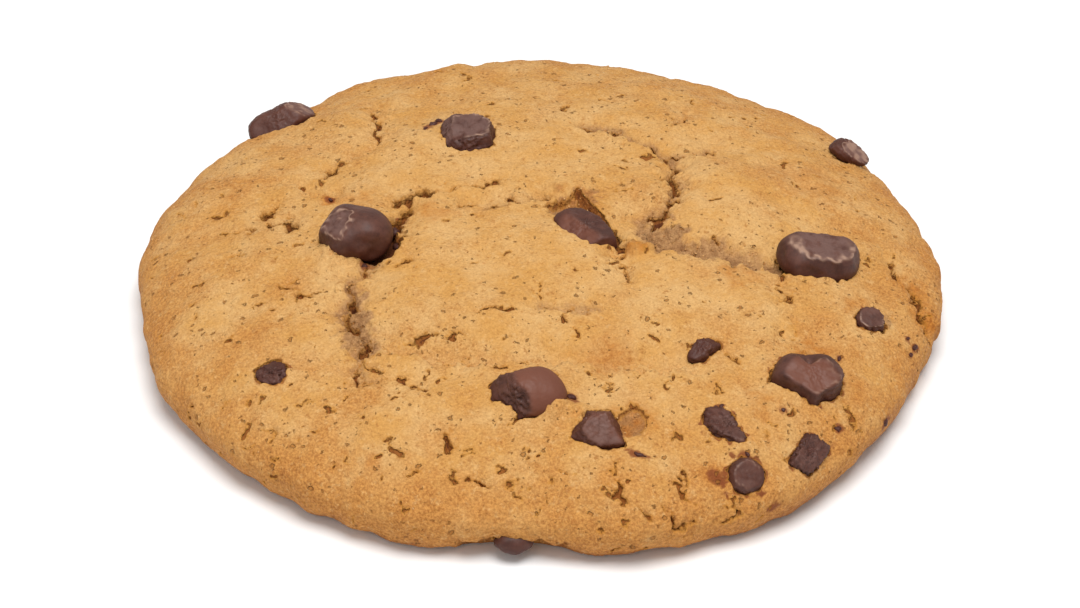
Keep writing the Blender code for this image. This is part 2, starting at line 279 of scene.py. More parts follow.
# patches in plan mm with radius and strength: toasted, broken crumb, or stained by chocolate
patches = {
    "toast": [(-12.5, 1.6, 2.4, 0.7), (22.6, -9.7, 2.6, 0.8), (11.2, -5.2, 1.7, 1.0), (4.6, 4.6, 3.4, 0.7),
              (32, 10.5, 5.0, 0.55), (7.5, -24, 3.4, 0.6), (30.5, -21.3, 3.0, 1.0), (10.2, -33.6, 2.8, 1.0),
              (24, -30.5, 2.2, 0.7), (36, -12.6, 2.0, 0.8), (-21.5, 4.9, 2.8, 0.55), (-25, 6.3, 1.3, 0.9),
              (43.6, -6.5, 2.4, 1.0), (44.8, -10.5, 2.4, 1.0), (18.5, -39.5, 1.6, 0.9), (34.6, -25.5, 2.0, 0.6),
              (-18, -39, 1.3, 0.8)],
    "crumb": [(4.6, 4.4, 2.8, 0.9), (14.5, -2.2, 3.2, 0.9), (20, -4.3, 3.0, 0.7), (-20.3, -13.4, 1.1, 0.8),
              (-20.1, -17.2, 1.7, 0.8),
              (-20.4, -20.6, 2.6, 0.7), (39.9, -14.4, 1.0, 0.6), (8, -24.6, 2.6, 0.2)],
    "stain": [(18.7, -39.6, 1.3, 0.8), (24.9, -40.8, 1.2, 0.8), (-13.4, 20.8, 1.0, 0.6), (-12.8, 22.4, 0.8, 0.5),
              (19, -31.6, 0.8, 0.5), (-19.6, -7.4, 1.0, 0.6), (33.9, -29.4, 0.9, 0.5), (27.4, -31.0, 0.8, 0.4),
              (21.7, -37.0, 0.8, 0.6), (31.6, -33.0, 0.8, 0.5), (3.6, -31.8, 0.9, 0.5), (-15.6, 1.2, 0.8, 0.5)],
}

# flecks of chocolate: place in plan, half length, half width, turn in degrees
flecks = [
    (43.0, -16.0, 0.55, 0.35, 40), (42.2, -15.4, 0.35, 0.22, 10), (42.6, -17.2, 0.4, 0.28, 80),
    (38.5, -27.0, 1.1, 0.45, 55), (32.3, -31.2, 0.5, 0.35, 20), (10.4, -38.3, 1.2, 0.28, -15),
    (21.9, -36.9, 0.6, 0.25, -50), (-13.2, 21.6, 0.9, 0.4, 25), (-12.3, 22.5, 0.6, 0.35, -30),
    (-13.9, 20.2, 0.4, 0.25, 60), (3.5, -31.4, 0.7, 0.4, -25), (-24.8, 6.3, 0.45, 0.3, 15),
    (33.6, -21.8, 0.4, 0.25, 70), (26.2, -30.6, 0.35, 0.25, 0), (-20.2, -7.3, 0.6, 0.35, -70),
    (29.5, -22.0, 0.35, 0.2, 30), (19.6, -30.9, 0.35, 0.25, 45), (-16.9, -1.0, 0.9, 0.6, 60),
    (-16.6, -3.4, 0.8, 0.5, 100), (-16.2, 1.2, 0.7, 0.5, 20),
]

# chips: half sizes, turn, and shift from the middle of the solid's box. Each flat has a direction seen in plan
# (right, far, up off the crust), a distance, and how bloomed, pale and broken it is, as skin is for the rest.
# rim is which flat has a worn edge, towards where, and how strong. dents are hollows: direction, width, depth.
# gap is the side where the crust stands open from the chip and by how much. banks are where the dough has
# risen over the chip: side, half width in degrees, height, and how far in. melt is the width of the stain.
# worn is how pale the skin is beyond the worn edge, the melted share how dark and red it is, partly melted chocolate
# and partly painted shade, and a level chip stands straight up, under the crust instead of in it
chips = {
    "chip_back_left": {
        "half": (4.7, 2.7, 2.0), "turn": 18, "shift": (0.0, -0.2, 0.0), "skin": (0.05, 0.25, 0.25),
        "flats": [((0.12, -0.80, 0.58), 1.75, 0.1, 0.2, 0.35), ((0.75, 0.0, 0.80), 2.5, 1.0, 0.5, 0.1),
                  ((0.95, -0.45, 0.1), 3.8, 0.0, 0.0, 0.3), ((-0.98, -0.1, 0.12), 4.0, 0.0, 0.0, 0.4)],
        "rim": (2, (0.1, 0.0, 0.9), 0.9), "worn": 0.6, "meltAndShade": 0.4, "gap": (-60, 0.0),
        "banks": [(-85, 50, 0.4, 0.2)], "melt": 0.1},
    "chip_top": {
        "half": (4.1, 3.2, 2.4), "turn": -12, "shift": (0.1, 0.2, -0.1), "skin": (0.0, 0.05, 0.8),
        "flats": [((-0.05, -0.22, 0.97), 1.35, 0.8, 0.02, 0.15), ((0.1, -0.90, 0.43), 2.3, 0.0, 0.02, 0.9),
                  ((1.0, -0.1, 0.2), 3.0, 0.1, 0.1, 0.3), ((-0.75, -0.15, 0.60), 2.3, 0.9, 0.1, 0.8),
                  ((0.2, 0.95, 0.2), 2.4, 0.1, 0.0, 0.2)],
        "rim": (1, (0.7, 0.3, 0.7), 1.5), "rimWidth": 0.05,
        "dents": [((-0.6, -0.75, 0.3), 0.35, 0.7), ((0.0, -0.25, 0.97), 0.45, 0.2)],
        "gap": (-60, 0.1), "banks": [(215, 30, 0.3, 0.3)], "melt": 0.1},
    "chip_back_right": {
        "half": (2.8, 1.9, 1.35), "turn": -25, "shift": (0.0, 0.0, 0.1), "skin": (0.0, 0.15, 0.45),
        "flats": [((0.15, -0.40, 0.90), 1.0, 1.0, 0.45, 0.1), ((-0.9, 0.1, 0.4), 1.9, 0.0, 0.1, 0.6)],
        "rim": (1, (0.4, -0.2, 0.9), 1.0), "worn": 0.7,
        "gap": (-110, 0.0), "banks": [(-60, 45, 0.4, 0.3)], "melt": 0.2},
    "chip_left": {
        "half": (4.5, 3.9, 3.1), "turn": -28, "shift": (-0.3, 0.0, 0.0), "skin": (0.0, 0.10, 0.0),
        "flats": [((-0.40, -0.22, 0.88), 2.85, 0.9, 0.05, 0.2), ((-0.75, -0.60, 0.1), 3.6, 0.0, 0.0, 0.2),
                  ((0.25, -0.95, 0.1), 3.5, 0.0, 0.05, 0.0)],
        "rim": (1, (-0.4, -0.2, 0.88), 1.0), "rimWidth": 0.03,
        "gap": (-5, 1.0), "banks": [(238, 40, 1.2, 0.6)], "melt": 0.1},
    "chip_middle": {
        "half": (5.2, 2.9, 2.1), "turn": -46, "shift": (-0.2, -0.6, 0.25), "skin": (0.0, 0.1, 0.3),
        "flats": [((0.15, 0.05, 0.98), 1.55, 0.1, 0.0, 0.4), ((-0.30, -0.38, 0.87), 1.60, 0.0, 0.7, 0.3),
                  ((0.90, 0.40, 0.1), 2.6, 0.0, 0.1, 0.2), ((-0.40, 0.92, 0.1), 3.4, 0.2, 0.1, 0.2),
                  ((-0.95, -0.3, 0.1), 3.0, 0.0, 0.2, 0.2), ((0.30, -0.95, 0.1), 3.4, 0.0, 0.2, 0.2)],
        "rim": (1, (0.0, 0.0, 1.0), 0.05), "meltAndShade": 0.3,
        "gap": (45, 0.35), "banks": [(222, 60, 0.3, 0.1)], "melt": 0.1},
    "chip_right": {
        "half": (5.0, 3.9, 2.9), "turn": 8, "shift": (0.0, 0.0, 0.0), "skin": (0.0, 0.0, 0.0),
        "flats": [((0.0, 0.03, 1.0), 1.75, 0.9, 0.10, 0.2), ((0.0, -0.95, 0.25), 3.3, 0.0, 0.0, 0.0),
                  ((0.90, -0.25, 0.42), 4.3, 0.0, 0.0, 0.0), ((-0.93, -0.3, 0.25), 4.6, 0.0, 0.0, 0.3),
                  ((0.0, 0.90, 0.43), 2.9, 0.3, 0.1, 0.1)],
        "rim": (1, (0.0, -0.9, 0.45), 1.6), "rimWidth": 0.07,
        "gap": (170, 0.25), "banks": [(-95, 45, 0.3, 0.2)], "melt": 0.15},
    "chip_right_stub": {
        "half": (1.65, 1.6, 1.9), "turn": 0, "shift": (0.0, 0.0, 0.05), "skin": (0.0, 0.05, 0.45),
        "flats": [((-0.05, -0.25, 0.97), 0.85, 0.35, 0.1, 0.0), ((0.3, -0.95, 0.05), 1.35, 0.0, 0.05, 0.5)],
        "rim": (1, (0.0, -1.0, 0.3), 1.0), "gap": (20, 0.3), "melt": 0.35},
    "chip_small_middle": {
        "half": (2.4, 1.15, 1.4), "turn": 40, "shift": (0.1, 0.2, 0.1), "skin": (0.0, 0.1, 0.6),
        "flats": [((-0.25, -0.25, 0.90), 0.95, 0.0, 0.15, 0.5), ((0.75, -0.65, 0.1), 1.0, 0.0, 0.1, 0.5),
                  ((0.35, 0.35, 0.85), 1.15, 0.0, 0.2, 0.6)],
        "rim": (1, (1.0, 0.0, 0.0), 0.1), "meltAndShade": 0.8, "gap": (150, 0.0), "melt": 0.45},
    "chip_lower_right": {
        "half": (4.5, 3.7, 2.6), "turn": 6, "shift": (0.0, 0.0, 0.0), "skin": (0.0, 0.0, 0.1),
        "flats": [((-0.03, -0.20, 0.97), 1.75, 0.2, 0.75, 0.15), ((0.97, -0.15, 0.25), 3.6, 0.0, 0.1, 0.7),
                  ((-0.45, -0.88, 0.15), 2.8, 0.0, 0.0, 0.1), ((0.62, -0.77, 0.15), 2.9, 0.0, 0.05, 0.3)],
        "rim": (1, (1.0, -0.1, 0.2), 0.5), "dents": [((-0.20, 0.78, 0.60), 0.34, 2.1)], "gap": (-150, 0.2),
        "banks": [(106, 13, 1.3, 1.1), (-125, 35, 0.3, 0.2)], "melt": 0.55},
    "chip_near_middle": {
        "half": (4.7, 3.3, 2.5), "turn": -5, "shift": (-0.2, 0.0, 0.45), "skin": (0.0, 0.80, 0.05),
        "flats": [((-0.72, -0.10, 0.68), 2.45, 0.1, 0.0, 0.45), ((-0.52, -0.72, 0.46), 2.2, 0.0, 0.0, 1.0),
                  ((-0.30, 0.80, 0.52), 2.6, 0.1, 0.2, 0.4), ((-0.85, 0.5, 0.1), 4.2, 0.0, 0.0, 0.4)],
        "rim": (1, (0.0, 1.0, 0.0), 0.1), "gap": (80, 0.1),
        "banks": [(-36, 22, 1.2, 0.5), (-138, 22, 0.6, 0.3)], "melt": 0.15},
    "chip_near_cone": {
        "half": (4.3, 3.4, 3.0), "turn": 0, "shift": (-0.1, -0.1, 0.2), "skin": (0.1, 0.3, 0.3),
        "flats": [((-0.45, -0.85, 0.28), 2.3, 0.0, 0.0, 0.5), ((0.12, -0.58, 0.80), 1.6, 0.9, 0.70, 0.3),
                  ((0.84, 0.28, 0.46), 1.85, 0.1, 0.5, 0.4), ((-0.75, 0.35, 0.56), 1.50, 0.1, 0.2, 0.5),
                  ((0.1, -1.0, 0.02), 2.6, 0.0, 0.1, 0.6), ((-0.1, 0.10, 0.98), 1.85, 0.5, 0.5, 0.4),
                  ((0.0, 0.75, 0.66), 1.55, 0.1, 0.3, 0.4)],
        "rim": (2, (0.0, 0.0, 1.0), 0.1), "gap": (20, 0.2), "banks": [(146, 34, 1.1, 0.9)], "melt": 0.15},
    "chip_left_sunken": {
        "half": (1.85, 1.9, 1.4), "turn": -20, "shift": (0.1, 0.0, 0.15), "skin": (0.0, 0.1, 0.9),
        "flats": [((0.10, 0.36, 0.93), 1.05, 0.25, 0.1, 0.7), ((-0.05, -0.28, 0.95), 1.00, 0.1, 0.15, 0.9)],
        "rim": (1, (0.0, -1.0, 0.0), 0.15), "meltAndShade": 0.6, "gap": (130, 0.25), "melt": 0.5},
    "chip_near_long": {
        "half": (3.3, 2.0, 1.6), "turn": -55, "shift": (0.0, 0.0, -0.1), "skin": (0.0, 0.05, 1.3),
        "flats": [((0.1, 0.10, 0.98), 0.85, 0.45, 0.15, 0.9), ((0.88, 0.45, 0.1), 1.35, 0.0, 0.1, 1.3),
                  ((-0.35, -0.93, 0.1), 1.75, 0.0, 0.1, 0.9), ((-0.1, 0.99, 0.1), 2.4, 0.0, 0.1, 0.9)],
        "rim": (1, (1.0, 0.3, 0.0), 0.25), "meltAndShade": 0.6, "gap": (-60, 0.0), "melt": 0.55},
    "chip_near_square": {
        "half": (3.5, 2.5, 1.6), "turn": 52, "shift": (0.0, -0.1, -0.1), "skin": (0.0, 0.05, 1.2),
        "flats": [((0.05, 0.0, 1.0), 0.80, 0.4, 0.1, 0.9), ((0.82, -0.55, 0.1), 1.50, 0.0, 0.1, 1.2),
                  ((-0.85, 0.45, 0.1), 1.45, 0.0, 0.0, 1.2), ((0.25, 0.97, 0.1), 2.3, 0.0, 0.1, 1.2),
                  ((-0.15, -0.98, 0.1), 2.2, 0.0, 0.0, 1.2)],
        "rim": (1, (0.9, -0.3, 0.0), 0.15), "meltAndShade": 0.5, "gap": (-60, 0.0), "melt": 0.55},
    "chip_near_round": {
        "half": (2.1, 1.95, 1.5), "turn": 10, "shift": (0.0, 0.1, -0.2), "skin": (0.0, 0.05, 0.35),
        "flats": [((0.05, -0.05, 0.99), 0.85, 0.4, 0.15, 0.1), ((-0.9, -0.3, 0.3), 1.95, 0.1, 0.1, 0.3)],
        "rim": (1, (-0.6, 0.3, 0.7), 0.5), "meltAndShade": 0.3, "gap": (-150, 0.0), "melt": 1.0},
    "chip_under_lip": {
        # this chip lies under the near lip: its dark red share is painted shade from the lip
        "half": (2.1, 1.8, 1.3), "turn": 0, "shift": (0.0, 0.0, -0.1), "skin": (0.1, 0.0, 0.1), "meltAndShade": 0.4,
        "flats": [((0.0, 0.3, 0.95), 1.05, 0.2, 0.3, 0.0)],
        "rim": (1, (0.0, 0.0, 1.0), 0.0), "gap": (0, 0.0), "level": True},
}


def ripple(points, seed, size, waves=26):
    # smooth noise in space: the mean of many sine waves with random directions and starts, near one size
    draw = np.random.default_rng(seed)
    heading = draw.standard_normal((waves, 3))
    heading /= np.linalg.norm(heading, axis=1, keepdims=True)
    rate = 2.0 * math.pi / (size * draw.uniform(0.7, 1.5, waves))
    start = draw.uniform(0.0, 2.0 * math.pi, waves)
    return np.sin((points @ heading.T) * rate + start).sum(-1) / math.sqrt(waves / 2.0)


def ownTurn(direction, turn):
    # a direction in plan, of length one, as a chip that is turned by so many degrees sees it
    cosine, sine = math.cos(math.radians(turn)), math.sin(math.radians(turn))
    seen = np.array(direction, float) @ np.array([[cosine, -sine, 0.0], [sine, cosine, 0.0], [0.0, 0.0, 1.0]])
    return seen / np.linalg.norm(seen)


def starReach(ray, half, flats, seed, turn=0.0, dents=(), hardness=30.0):
    # how far a chip's skin lies from its middle in each direction: the soft minimum of an ellipsoid and its
    # flats, one over the root of the summed inverse powers, less a bell curve at each dent. Also gives how
    # much the ellipsoid and each flat rule there, and each one's own reach
    half = np.array(half)
    plain = 1.0 / np.linalg.norm(ray / half, axis=1)
    reach = [plain * (1.0 + 0.04 * ripple(ray * half, seed, 1.1 * half.max()))]
    uneven = 1.0 + 0.026 * ripple(ray * half, seed + 5, 2.6) + 0.006 * ripple(ray * half, seed + 6, 0.9)
    for direction, distance, *finish in flats:
        facing = ray @ ownTurn(direction, turn)
        reach.append(np.where(facing > 0.03, distance * uneven / np.maximum(facing, 0.03), 100.0))
    reach = np.array(reach)
    power = reach ** -hardness
    length = power.sum(0) ** (-1.0 / hardness)
    rule = power / power.sum(0)
    for direction, width, depth in dents:
        facing = np.clip(ray @ ownTurn(direction, turn), -1, 1)
        length = length - depth * np.exp(-(np.arccos(facing) / width) ** 2)
    return length, rule, reach


def chipPlace(name):
    # the middle of the solid's box, in mm, and the three directions of the chip: its own Z is the crust's
    # normal there, and it is turned about that
    low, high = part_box(name)
    middle = (np.array(low) + np.array(high)) / 2.0 / mm + np.array(chips[name]["shift"])
    p, q = unroll(middle[0], middle[1])
    upright = blankNormal(np.array(p), np.array(q))
    if chips[name].get("level"):
        upright = np.array([0.0, 0.0, 1.0])
    turn = math.radians(chips[name]["turn"])
    lean = np.cross([0.0, 0.0, 1.0], upright)
    size = np.linalg.norm(lean)
    bend = math.asin(min(1.0, size))
    axis = lean / size if size > 1e-6 else np.array([1.0, 0.0, 0.0])
    flatX = np.array([math.cos(turn), math.sin(turn), 0.0])
    flatY = np.array([-math.sin(turn), math.cos(turn), 0.0])
    # each flat direction is swung by the lean: cosine part, cross part and the part along the hinge
    swing = [v * math.cos(bend) + np.cross(axis, v) * math.sin(bend) + axis * axis.dot(v) * (1 - math.cos(bend))
             for v in (flatX, flatY)]
    return middle, np.array([swing[0], swing[1], upright]), (p, q)


def openField(inside):
    # how far inside an opening a cell is, in mm, as a number: a half on its edge, one 0.6 mm inside
    return (0.5 + inside / 1.2).clip(0.0, 1.0)


def raiseTo(values, least, block=...):
    # the larger of what is there and what is given, on a block or the whole sheet
    values[block] = np.maximum(values[block], least)


def strokeAway(u, v, start, run):
    # distance to the nearest spot of a straight stroke, and the part of it along v
    along = np.clip(((u - start[0]) * run[0] + (v - start[1]) * run[1]) / run.dot(run), 0.0, 1.0)
    awayV = v - start[1] - run[1] * along
    return np.hypot(u - start[0] - run[0] * along, awayV), awayV


# noises that several steps of the crust share: how far a line strays, how a slit opens and shuts, and edges
strayP, strayQ = [crust["wander"] * noiseSheet(seed, 1.6, 6.0) * 0.6 + crust["stray"] * noiseSheet(seed + 1, 0.5, 1.6)
                  for seed in (21, 23)]
opening = noiseSheet(25, 1.2, 5.0)
ragged = noiseSheet(31, 0.8, 4.0)
lipNoise = noiseSheet(32, 0.7, 2.2)
chipSeeds = {name: 100 + 7 * number for number, name in enumerate(chips)}


def raisePlates(relief):
    # each plate is a bell curve of the fourth power, faded out towards the rim
    fadeRim = 1.0 - softStep(0.80 * rimArc, rimArc, sheetArc)
    for x, y, radius, height in cookie["plates"]:
        p, q = unroll(x, y)
        relief += height * np.exp(-(np.hypot(sheetP - p, sheetQ - q) / radius) ** 4) * fadeRim


def carveCracks(relief, masks):
    # the nearest distance to each route, read on a sheet that wanders, gives a valley that climbs slowly on
    # the far side, a raised lip on the near side, and a slit that opens and shuts along its length
    valley = np.zeros_like(relief)
    slitSink = np.zeros_like(relief)
    for route, halfWidth, depth, slitHalf, slitDepth, broken, openShare in cracks:
        corners = np.array([unroll(x, y) for x, y in route])
        middle = (corners.max(0) + corners.min(0)) / 2.0
        reach = (corners.max(0) - corners.min(0)).max() / 2.0 + 3.0 * halfWidth + 1.5
        block = windowAt(middle[0], middle[1], reach)
        p = sheetP[block] + strayP[block]
        q = sheetQ[block] + strayQ[block]
        nearest = np.full_like(p, 1000.0)
        lean = np.zeros_like(p)
        for start, end in zip(corners[:-1], corners[1:]):
            distance, awayQ = strokeAway(p, q, start, end - start)
            lean = np.where(distance < nearest, awayQ / np.maximum(distance, 0.05), lean)
            nearest = np.minimum(nearest, distance)
        ends = np.minimum(np.hypot(p - corners[0][0], q - corners[0][1]),
                          np.hypot(p - corners[-1][0], q - corners[-1][1]))
        taper = 0.45 + 0.55 * softStep(0.0, 1.0, ends)
        wide = halfWidth * (1.0 + 0.6 * lean)
        raiseTo(valley, crust["valley"] * depth * np.exp(-(nearest / wide) ** 1.5) * taper, block)
        lip = crust["crackLip"] * depth * taper * np.exp(-((nearest - 0.7) / 0.55) ** 2)
        relief[block] += lip * softStep(0.2, -0.6, lean)
        raiseTo(masks["crumb"], min(1.0, 1.1 * broken) * np.exp(-(nearest / (0.8 * wide)) ** 2), block)
        openHere = softStep(-0.2, 0.6, openShare * 1.3 - 0.35 + 0.45 * opening[block]) if openShare < 1 else 1.0
        edge = slitHalf * (0.95 + 0.40 * opening[block]).clip(0.35, 2.0) * taper
        inside = crust["slitWiden"] * edge - nearest - 0.28 * (1.0 - openHere)
        raiseTo(slitSink, slitDepth * softStep(-0.14, 0.16, inside), block)
        # this mask is where painted shade is laid in the open slit
        raiseTo(masks["slit"], openField(inside), block)
    relief -= valley + slitSink


def openHairlines(relief, masks):
    # where a slow noise crosses zero, kept only in scattered short runs
    hair = softStep(0.10, 0.02, np.abs(noiseSheet(26, 1.2, 5.0))) * softStep(0.5, 1.3, noiseSheet(27, 1.0, 3.5))
    hair *= softStep(-0.8, 1.2, noiseSheet(28, 5.0, 20.0))
    relief -= crust["hairline"] * hair
    # the hairline's mask lays painted shade along it
    raiseTo(masks["slit"], openField(0.16 * hair - 0.10 - 0.6 * (hair < 0.02)))


def placePatches(masks):
    # full in the middle of each patch and round each fleck, and faded out over a ragged edge
    for kind, spots in patches.items():
        for x, y, radius, strength in spots:
            p, q = unroll(x, y)
            block = windowAt(p, q, 2.6 * radius)
            away = np.hypot(sheetP[block] - p, sheetQ[block] - q) / radius + 0.22 * ragged[block]
            raiseTo(masks[kind], strength * softStep(1.25, 0.35, away), block)
    for x, y, long, wide, turn in flecks:
        p, q = unroll(x, y)
        block = windowAt(p, q, 3.0 * long)
        cosine, sine = math.cos(math.radians(turn)), math.sin(math.radians(turn))
        u = (sheetP[block] - p) * cosine + (sheetQ[block] - q) * sine
        v = (sheetQ[block] - q) * cosine - (sheetP[block] - p) * sine
        away = np.hypot(u / (long + 0.25), v / (wide + 0.25)) + 0.15 * ragged[block]
        raiseTo(masks["stain"], 0.75 * softStep(1.3, 0.7, away), block)


def meetChips(relief, masks):
    # the crust meets each chip's own skin: mm outside it is found for every cell near by. Under the chip the
    # crust sinks, on one side it may stand open, and where it has risen over the chip a bank is added
    for name, chip in chips.items():
        if chip.get("level"):
            continue
        middle, axes, (p, q) = chipPlace(name)
        half = chip["half"]
        block = windowAt(p, q, 1.6 * half[0] + 2.0)
        crustHere = blankPoint(sheetP[block], sheetQ[block])
        crustHere += blankNormal(sheetP[block], sheetQ[block]) * relief[block][..., None]
        local = (crustHere - middle) @ axes.T
        local[..., 2] = local[..., 2].clip(-0.9 * half[2], 0.35 * half[2])
        away = np.linalg.norm(local, axis=-1)
        ray = (local / np.maximum(away, 0.01)[..., None]).reshape(-1, 3)
        length = starReach(ray, half, chip["flats"], chipSeeds[name], chip["turn"], chip.get("dents", ()))[0]
        around = away - length.reshape(away.shape) + 0.10 * lipNoise[block]
        direction = np.degrees(np.arctan2(sheetQ[block] - q, sheetP[block] - p))
        side, width = chip["gap"]
        edge = width * softStep(0.1, 0.9, np.cos(np.radians(direction - side)))
        bank = np.zeros_like(around)
        for side, halfAngle, height, inward in chip.get("banks", ()):
            share = np.exp(-(turnFrom(direction, side) / halfAngle) ** 4)
            outside = around + share * inward * (1.0 + 0.35 * lipNoise[block])
            risen = share * height * softStep(-0.12, 0.15, outside) * np.exp(-(outside.clip(0) / 1.5) ** 2)
            bank = np.maximum(bank, risen)
            edge = edge - share * inward
        gaping = softStep(0.1, 0.35, edge)
        relief[block] -= (0.7 + 0.9 * gaping) * softStep(edge + 0.02, edge - 0.38, around)
        lip = np.exp(-((around - edge - 0.3) / 0.35) ** 2)
        relief[block] += lip * (0.07 + 0.07 * lipNoise[block]) + bank
        # a thin line of painted shade where the crust meets the chip, and painted shade down in the open gap
        contactShade = 0.05 - np.abs(around - edge + 0.02)
        raiseTo(masks["slit"], openField(np.maximum(contactShade, edge - around - 1.0 + gaping)), block)
        melt = chip.get("melt", 0.1)
        halo = softStep(melt, -0.1, around + 0.3 * melt * lipNoise[block]) * (bank < 0.05)
        raiseTo(masks["stain"], halo, block)


def sinkHollows(relief, masks):
    # the cavity that the middle chip has sunk into and the one beside the near cone. The distance outside is
    # the largest of the distances past each side; the walls are steep, with a line of painted shade along their feet
    for corners, depth, broken, footShadeWidths in hollows:
        corners = np.array([unroll(x, y) for x, y in corners])
        middle = corners.mean(0)
        block = windowAt(middle[0], middle[1], np.abs(corners - middle).max() + 2.0)
        past = np.full_like(relief[block], -100.0)
        foot = np.full_like(relief[block], -1.0)
        for start, end, dark in zip(corners, np.roll(corners, -1, axis=0), footShadeWidths):
            run = (end - start) / np.linalg.norm(end - start)
            side = (sheetP[block] - start[0]) * run[1] - (sheetQ[block] - start[1]) * run[0]
            side = side + 0.10 * lipNoise[block] + 0.10 * ragged[block]
            # foot is a line of painted shade just inside each wall's edge, as wide as that side's given half width
            foot = np.where(side > past, dark - np.abs(side + 0.25) - 2.0 * (dark == 0), foot)
            past = np.maximum(past, side)
        relief[block] -= depth * softStep(0.15, -0.45, past)
        raiseTo(masks["crumb"], broken * softStep(0.1, -0.4, past), block)
        raiseTo(masks["slit"], openField(foot), block)


def rollFolds(relief, masks):
    # over a fold's line the crust swells out and under it the crust draws in, with a crease of painted shade between
    for middleAngle, halfAngle, nearEdge, farEdge, outward, inward, past in folds:
        turn = turnFrom(sheetAngle, middleAngle)
        reach = softStep(-halfAngle - nearEdge, -halfAngle, turn)
        reach = reach * softStep(halfAngle + farEdge, halfAngle - farEdge, turn)
        crest = rimArc + past + 0.25 * ragged
        over = softStep(crest - 5.0, crest - 0.8, sheetArc) * softStep(crest + 0.25, crest - 0.1, sheetArc)
        under = softStep(crest - 0.05, crest + 0.4, sheetArc) * softStep(footArc, footArc - 2.4, sheetArc)
        relief += reach * (outward * over - inward * under)
        # painted shade in the crease under the fold
        raiseTo(masks["slit"], openField(0.2 - np.abs(sheetArc - crest - 0.5) - 1.5 * (1.0 - reach)))


def burstBubbles(relief, masks):
    # each is a chain of one to four short strokes that turn as they go, thicker on the ground in patches,
    # near the rim and in front; a cell's depth goes by its distance past the nearest stroke
    draw = np.random.default_rng(41)
    crowd = noiseSheet(42, 6.0, 24.0)
    made = 0
    while made < bursts["count"]:
        arc = footArc * math.sqrt(draw.random())
        angle = draw.random() * 2.0 * math.pi
        p, q = arc * math.cos(angle), arc * math.sin(angle)
        chance = bursts["anywhere"] + bursts["patchy"] * float(readSheet(crowd, np.array(p), np.array(q)))
        chance += bursts["nearRim"] * (arc > 0.6 * rimArc) + bursts["inFront"] * (q < -26)
        if draw.random() > chance:
            continue
        made += 1
        strokes = int(draw.choice(4, p=bursts["strokes"])) + 1
        long = bursts["length"] * math.exp(0.45 * draw.standard_normal())
        wide = bursts["width"] * math.exp(0.28 * draw.standard_normal())
        deep = bursts["depth"] * draw.uniform(0.6, 1.4)
        turn = draw.random() * 2.0 * math.pi
        block = windowAt(p, q, (strokes + 1.0) * long + 1.0)
        u = sheetP[block] + 0.7 * strayP[block]
        v = sheetQ[block] + 0.7 * strayQ[block]
        nearest = np.full_like(u, 100.0)
        for stroke in range(strokes):
            run = long * np.array([math.cos(turn), math.sin(turn)])
            nearest = np.minimum(nearest, strokeAway(u, v, (p, q), run)[0])
            p, q = p + run[0], q + run[1]
            turn += draw.normal(0.0, 1.1)
        inside = wide * (1.0 + 0.35 * opening[block]).clip(0.5, 1.8) - nearest
        relief[block] -= deep * softStep(-0.16, 0.16, inside)
        # the mask lays painted shade in the burst
        raiseTo(masks["slit"], openField(inside), block)


def browning():
    # the shoulder, rim and foot each add their own share, all broken up by slow and fine noise
    bake = baking["shoulder"] * softStep(0.35 * rimArc, 0.8 * rimArc, sheetArc)
    bake += baking["rim"] * softStep(0.8 * rimArc, rimArc, sheetArc)
    bake += baking["foot"] * softStep(rimArc - 1.0, footArc - 1.0, sheetArc)
    bake += baking["slow"] * noiseSheet(51, 4.0, 20.0) + baking["fine"] * noiseSheet(52, 0.8, 4.0) + baking["all"]
    return bake


def shapeCrust():
    # relief in mm and colour masks 0 to 1, all on the sheet: unevenness of four sizes, then each step in turn
    relief = crust["swell"] * noiseSheet(11, 9.0, 26.0) + crust["lump"] * noiseSheet(12, 3.0, 9.0)
    relief += crust["dimple"] * noiseSheet(13, 1.0, 3.0) + crust["tooth"] * noiseSheet(14, 0.5, 1.0)
    masks = {name: np.zeros_like(relief) for name in ("bake", "crumb", "toast", "slit", "stain")}
    raisePlates(relief)
    carveCracks(relief, masks)
    openHairlines(relief, masks)
    placePatches(masks)
    meetChips(relief, masks)
    sinkHollows(relief, masks)
    rollFolds(relief, masks)
    relief -= masks["crumb"] * np.abs(noiseSheet(33, 0.5, 1.8)) * crust["crumb"]
    relief += masks["crumb"] * noiseSheet(34, 0.5, 1.5) * crust["crumb"] * 0.8
    burstBubbles(relief, masks)
    masks["bake"] = browning()
    return relief, {name: mask.clip(0, 1) for name, mask in masks.items()}


crustRelief, crustMasks = shapeCrust()
print("crust relief and colour masks worked out")


def crustPoint(p, q):
    # smooth cookie plus the relief along its normal
    height = readSheet(crustRelief, p, q)
    return blankPoint(p, q) + blankNormal(p, q) * height[..., None]


def makeMesh(name, points, faces, masks=None, smooth=True):
    # faces is a list of index arrays, each rows of equal corner count; the corners run outward
    mesh = bpy.data.meshes.new(name)
    corners = np.concatenate([rows.ravel() for rows in faces]).astype(np.int32)
    counts = np.concatenate([np.full(len(rows), rows.shape[1], np.int32) for rows in faces])
    mesh.vertices.add(len(points))
    mesh.vertices.foreach_set("co", (np.asarray(points) * mm).astype(np.float32).ravel())
    mesh.loops.add(len(corners))
    mesh.loops.foreach_set("vertex_index", corners)
    mesh.polygons.add(len(counts))
    mesh.polygons.foreach_set("loop_start", np.concatenate([[0], np.cumsum(counts)[:-1]]).astype(np.int32))
    mesh.update(calc_edges=True)
    mesh.validate()
    mesh.polygons.foreach_set("use_smooth", np.full(len(counts), smooth))
    for maskName, values in (masks or {}).items():
        mask = mesh.attributes.new(maskName, "FLOAT", "POINT")
        mask.data.foreach_set("value", np.asarray(values, np.float32).ravel())
    piece = bpy.data.objects.new(name, mesh)
    bpy.context.scene.collection.objects.link(piece)
    return piece


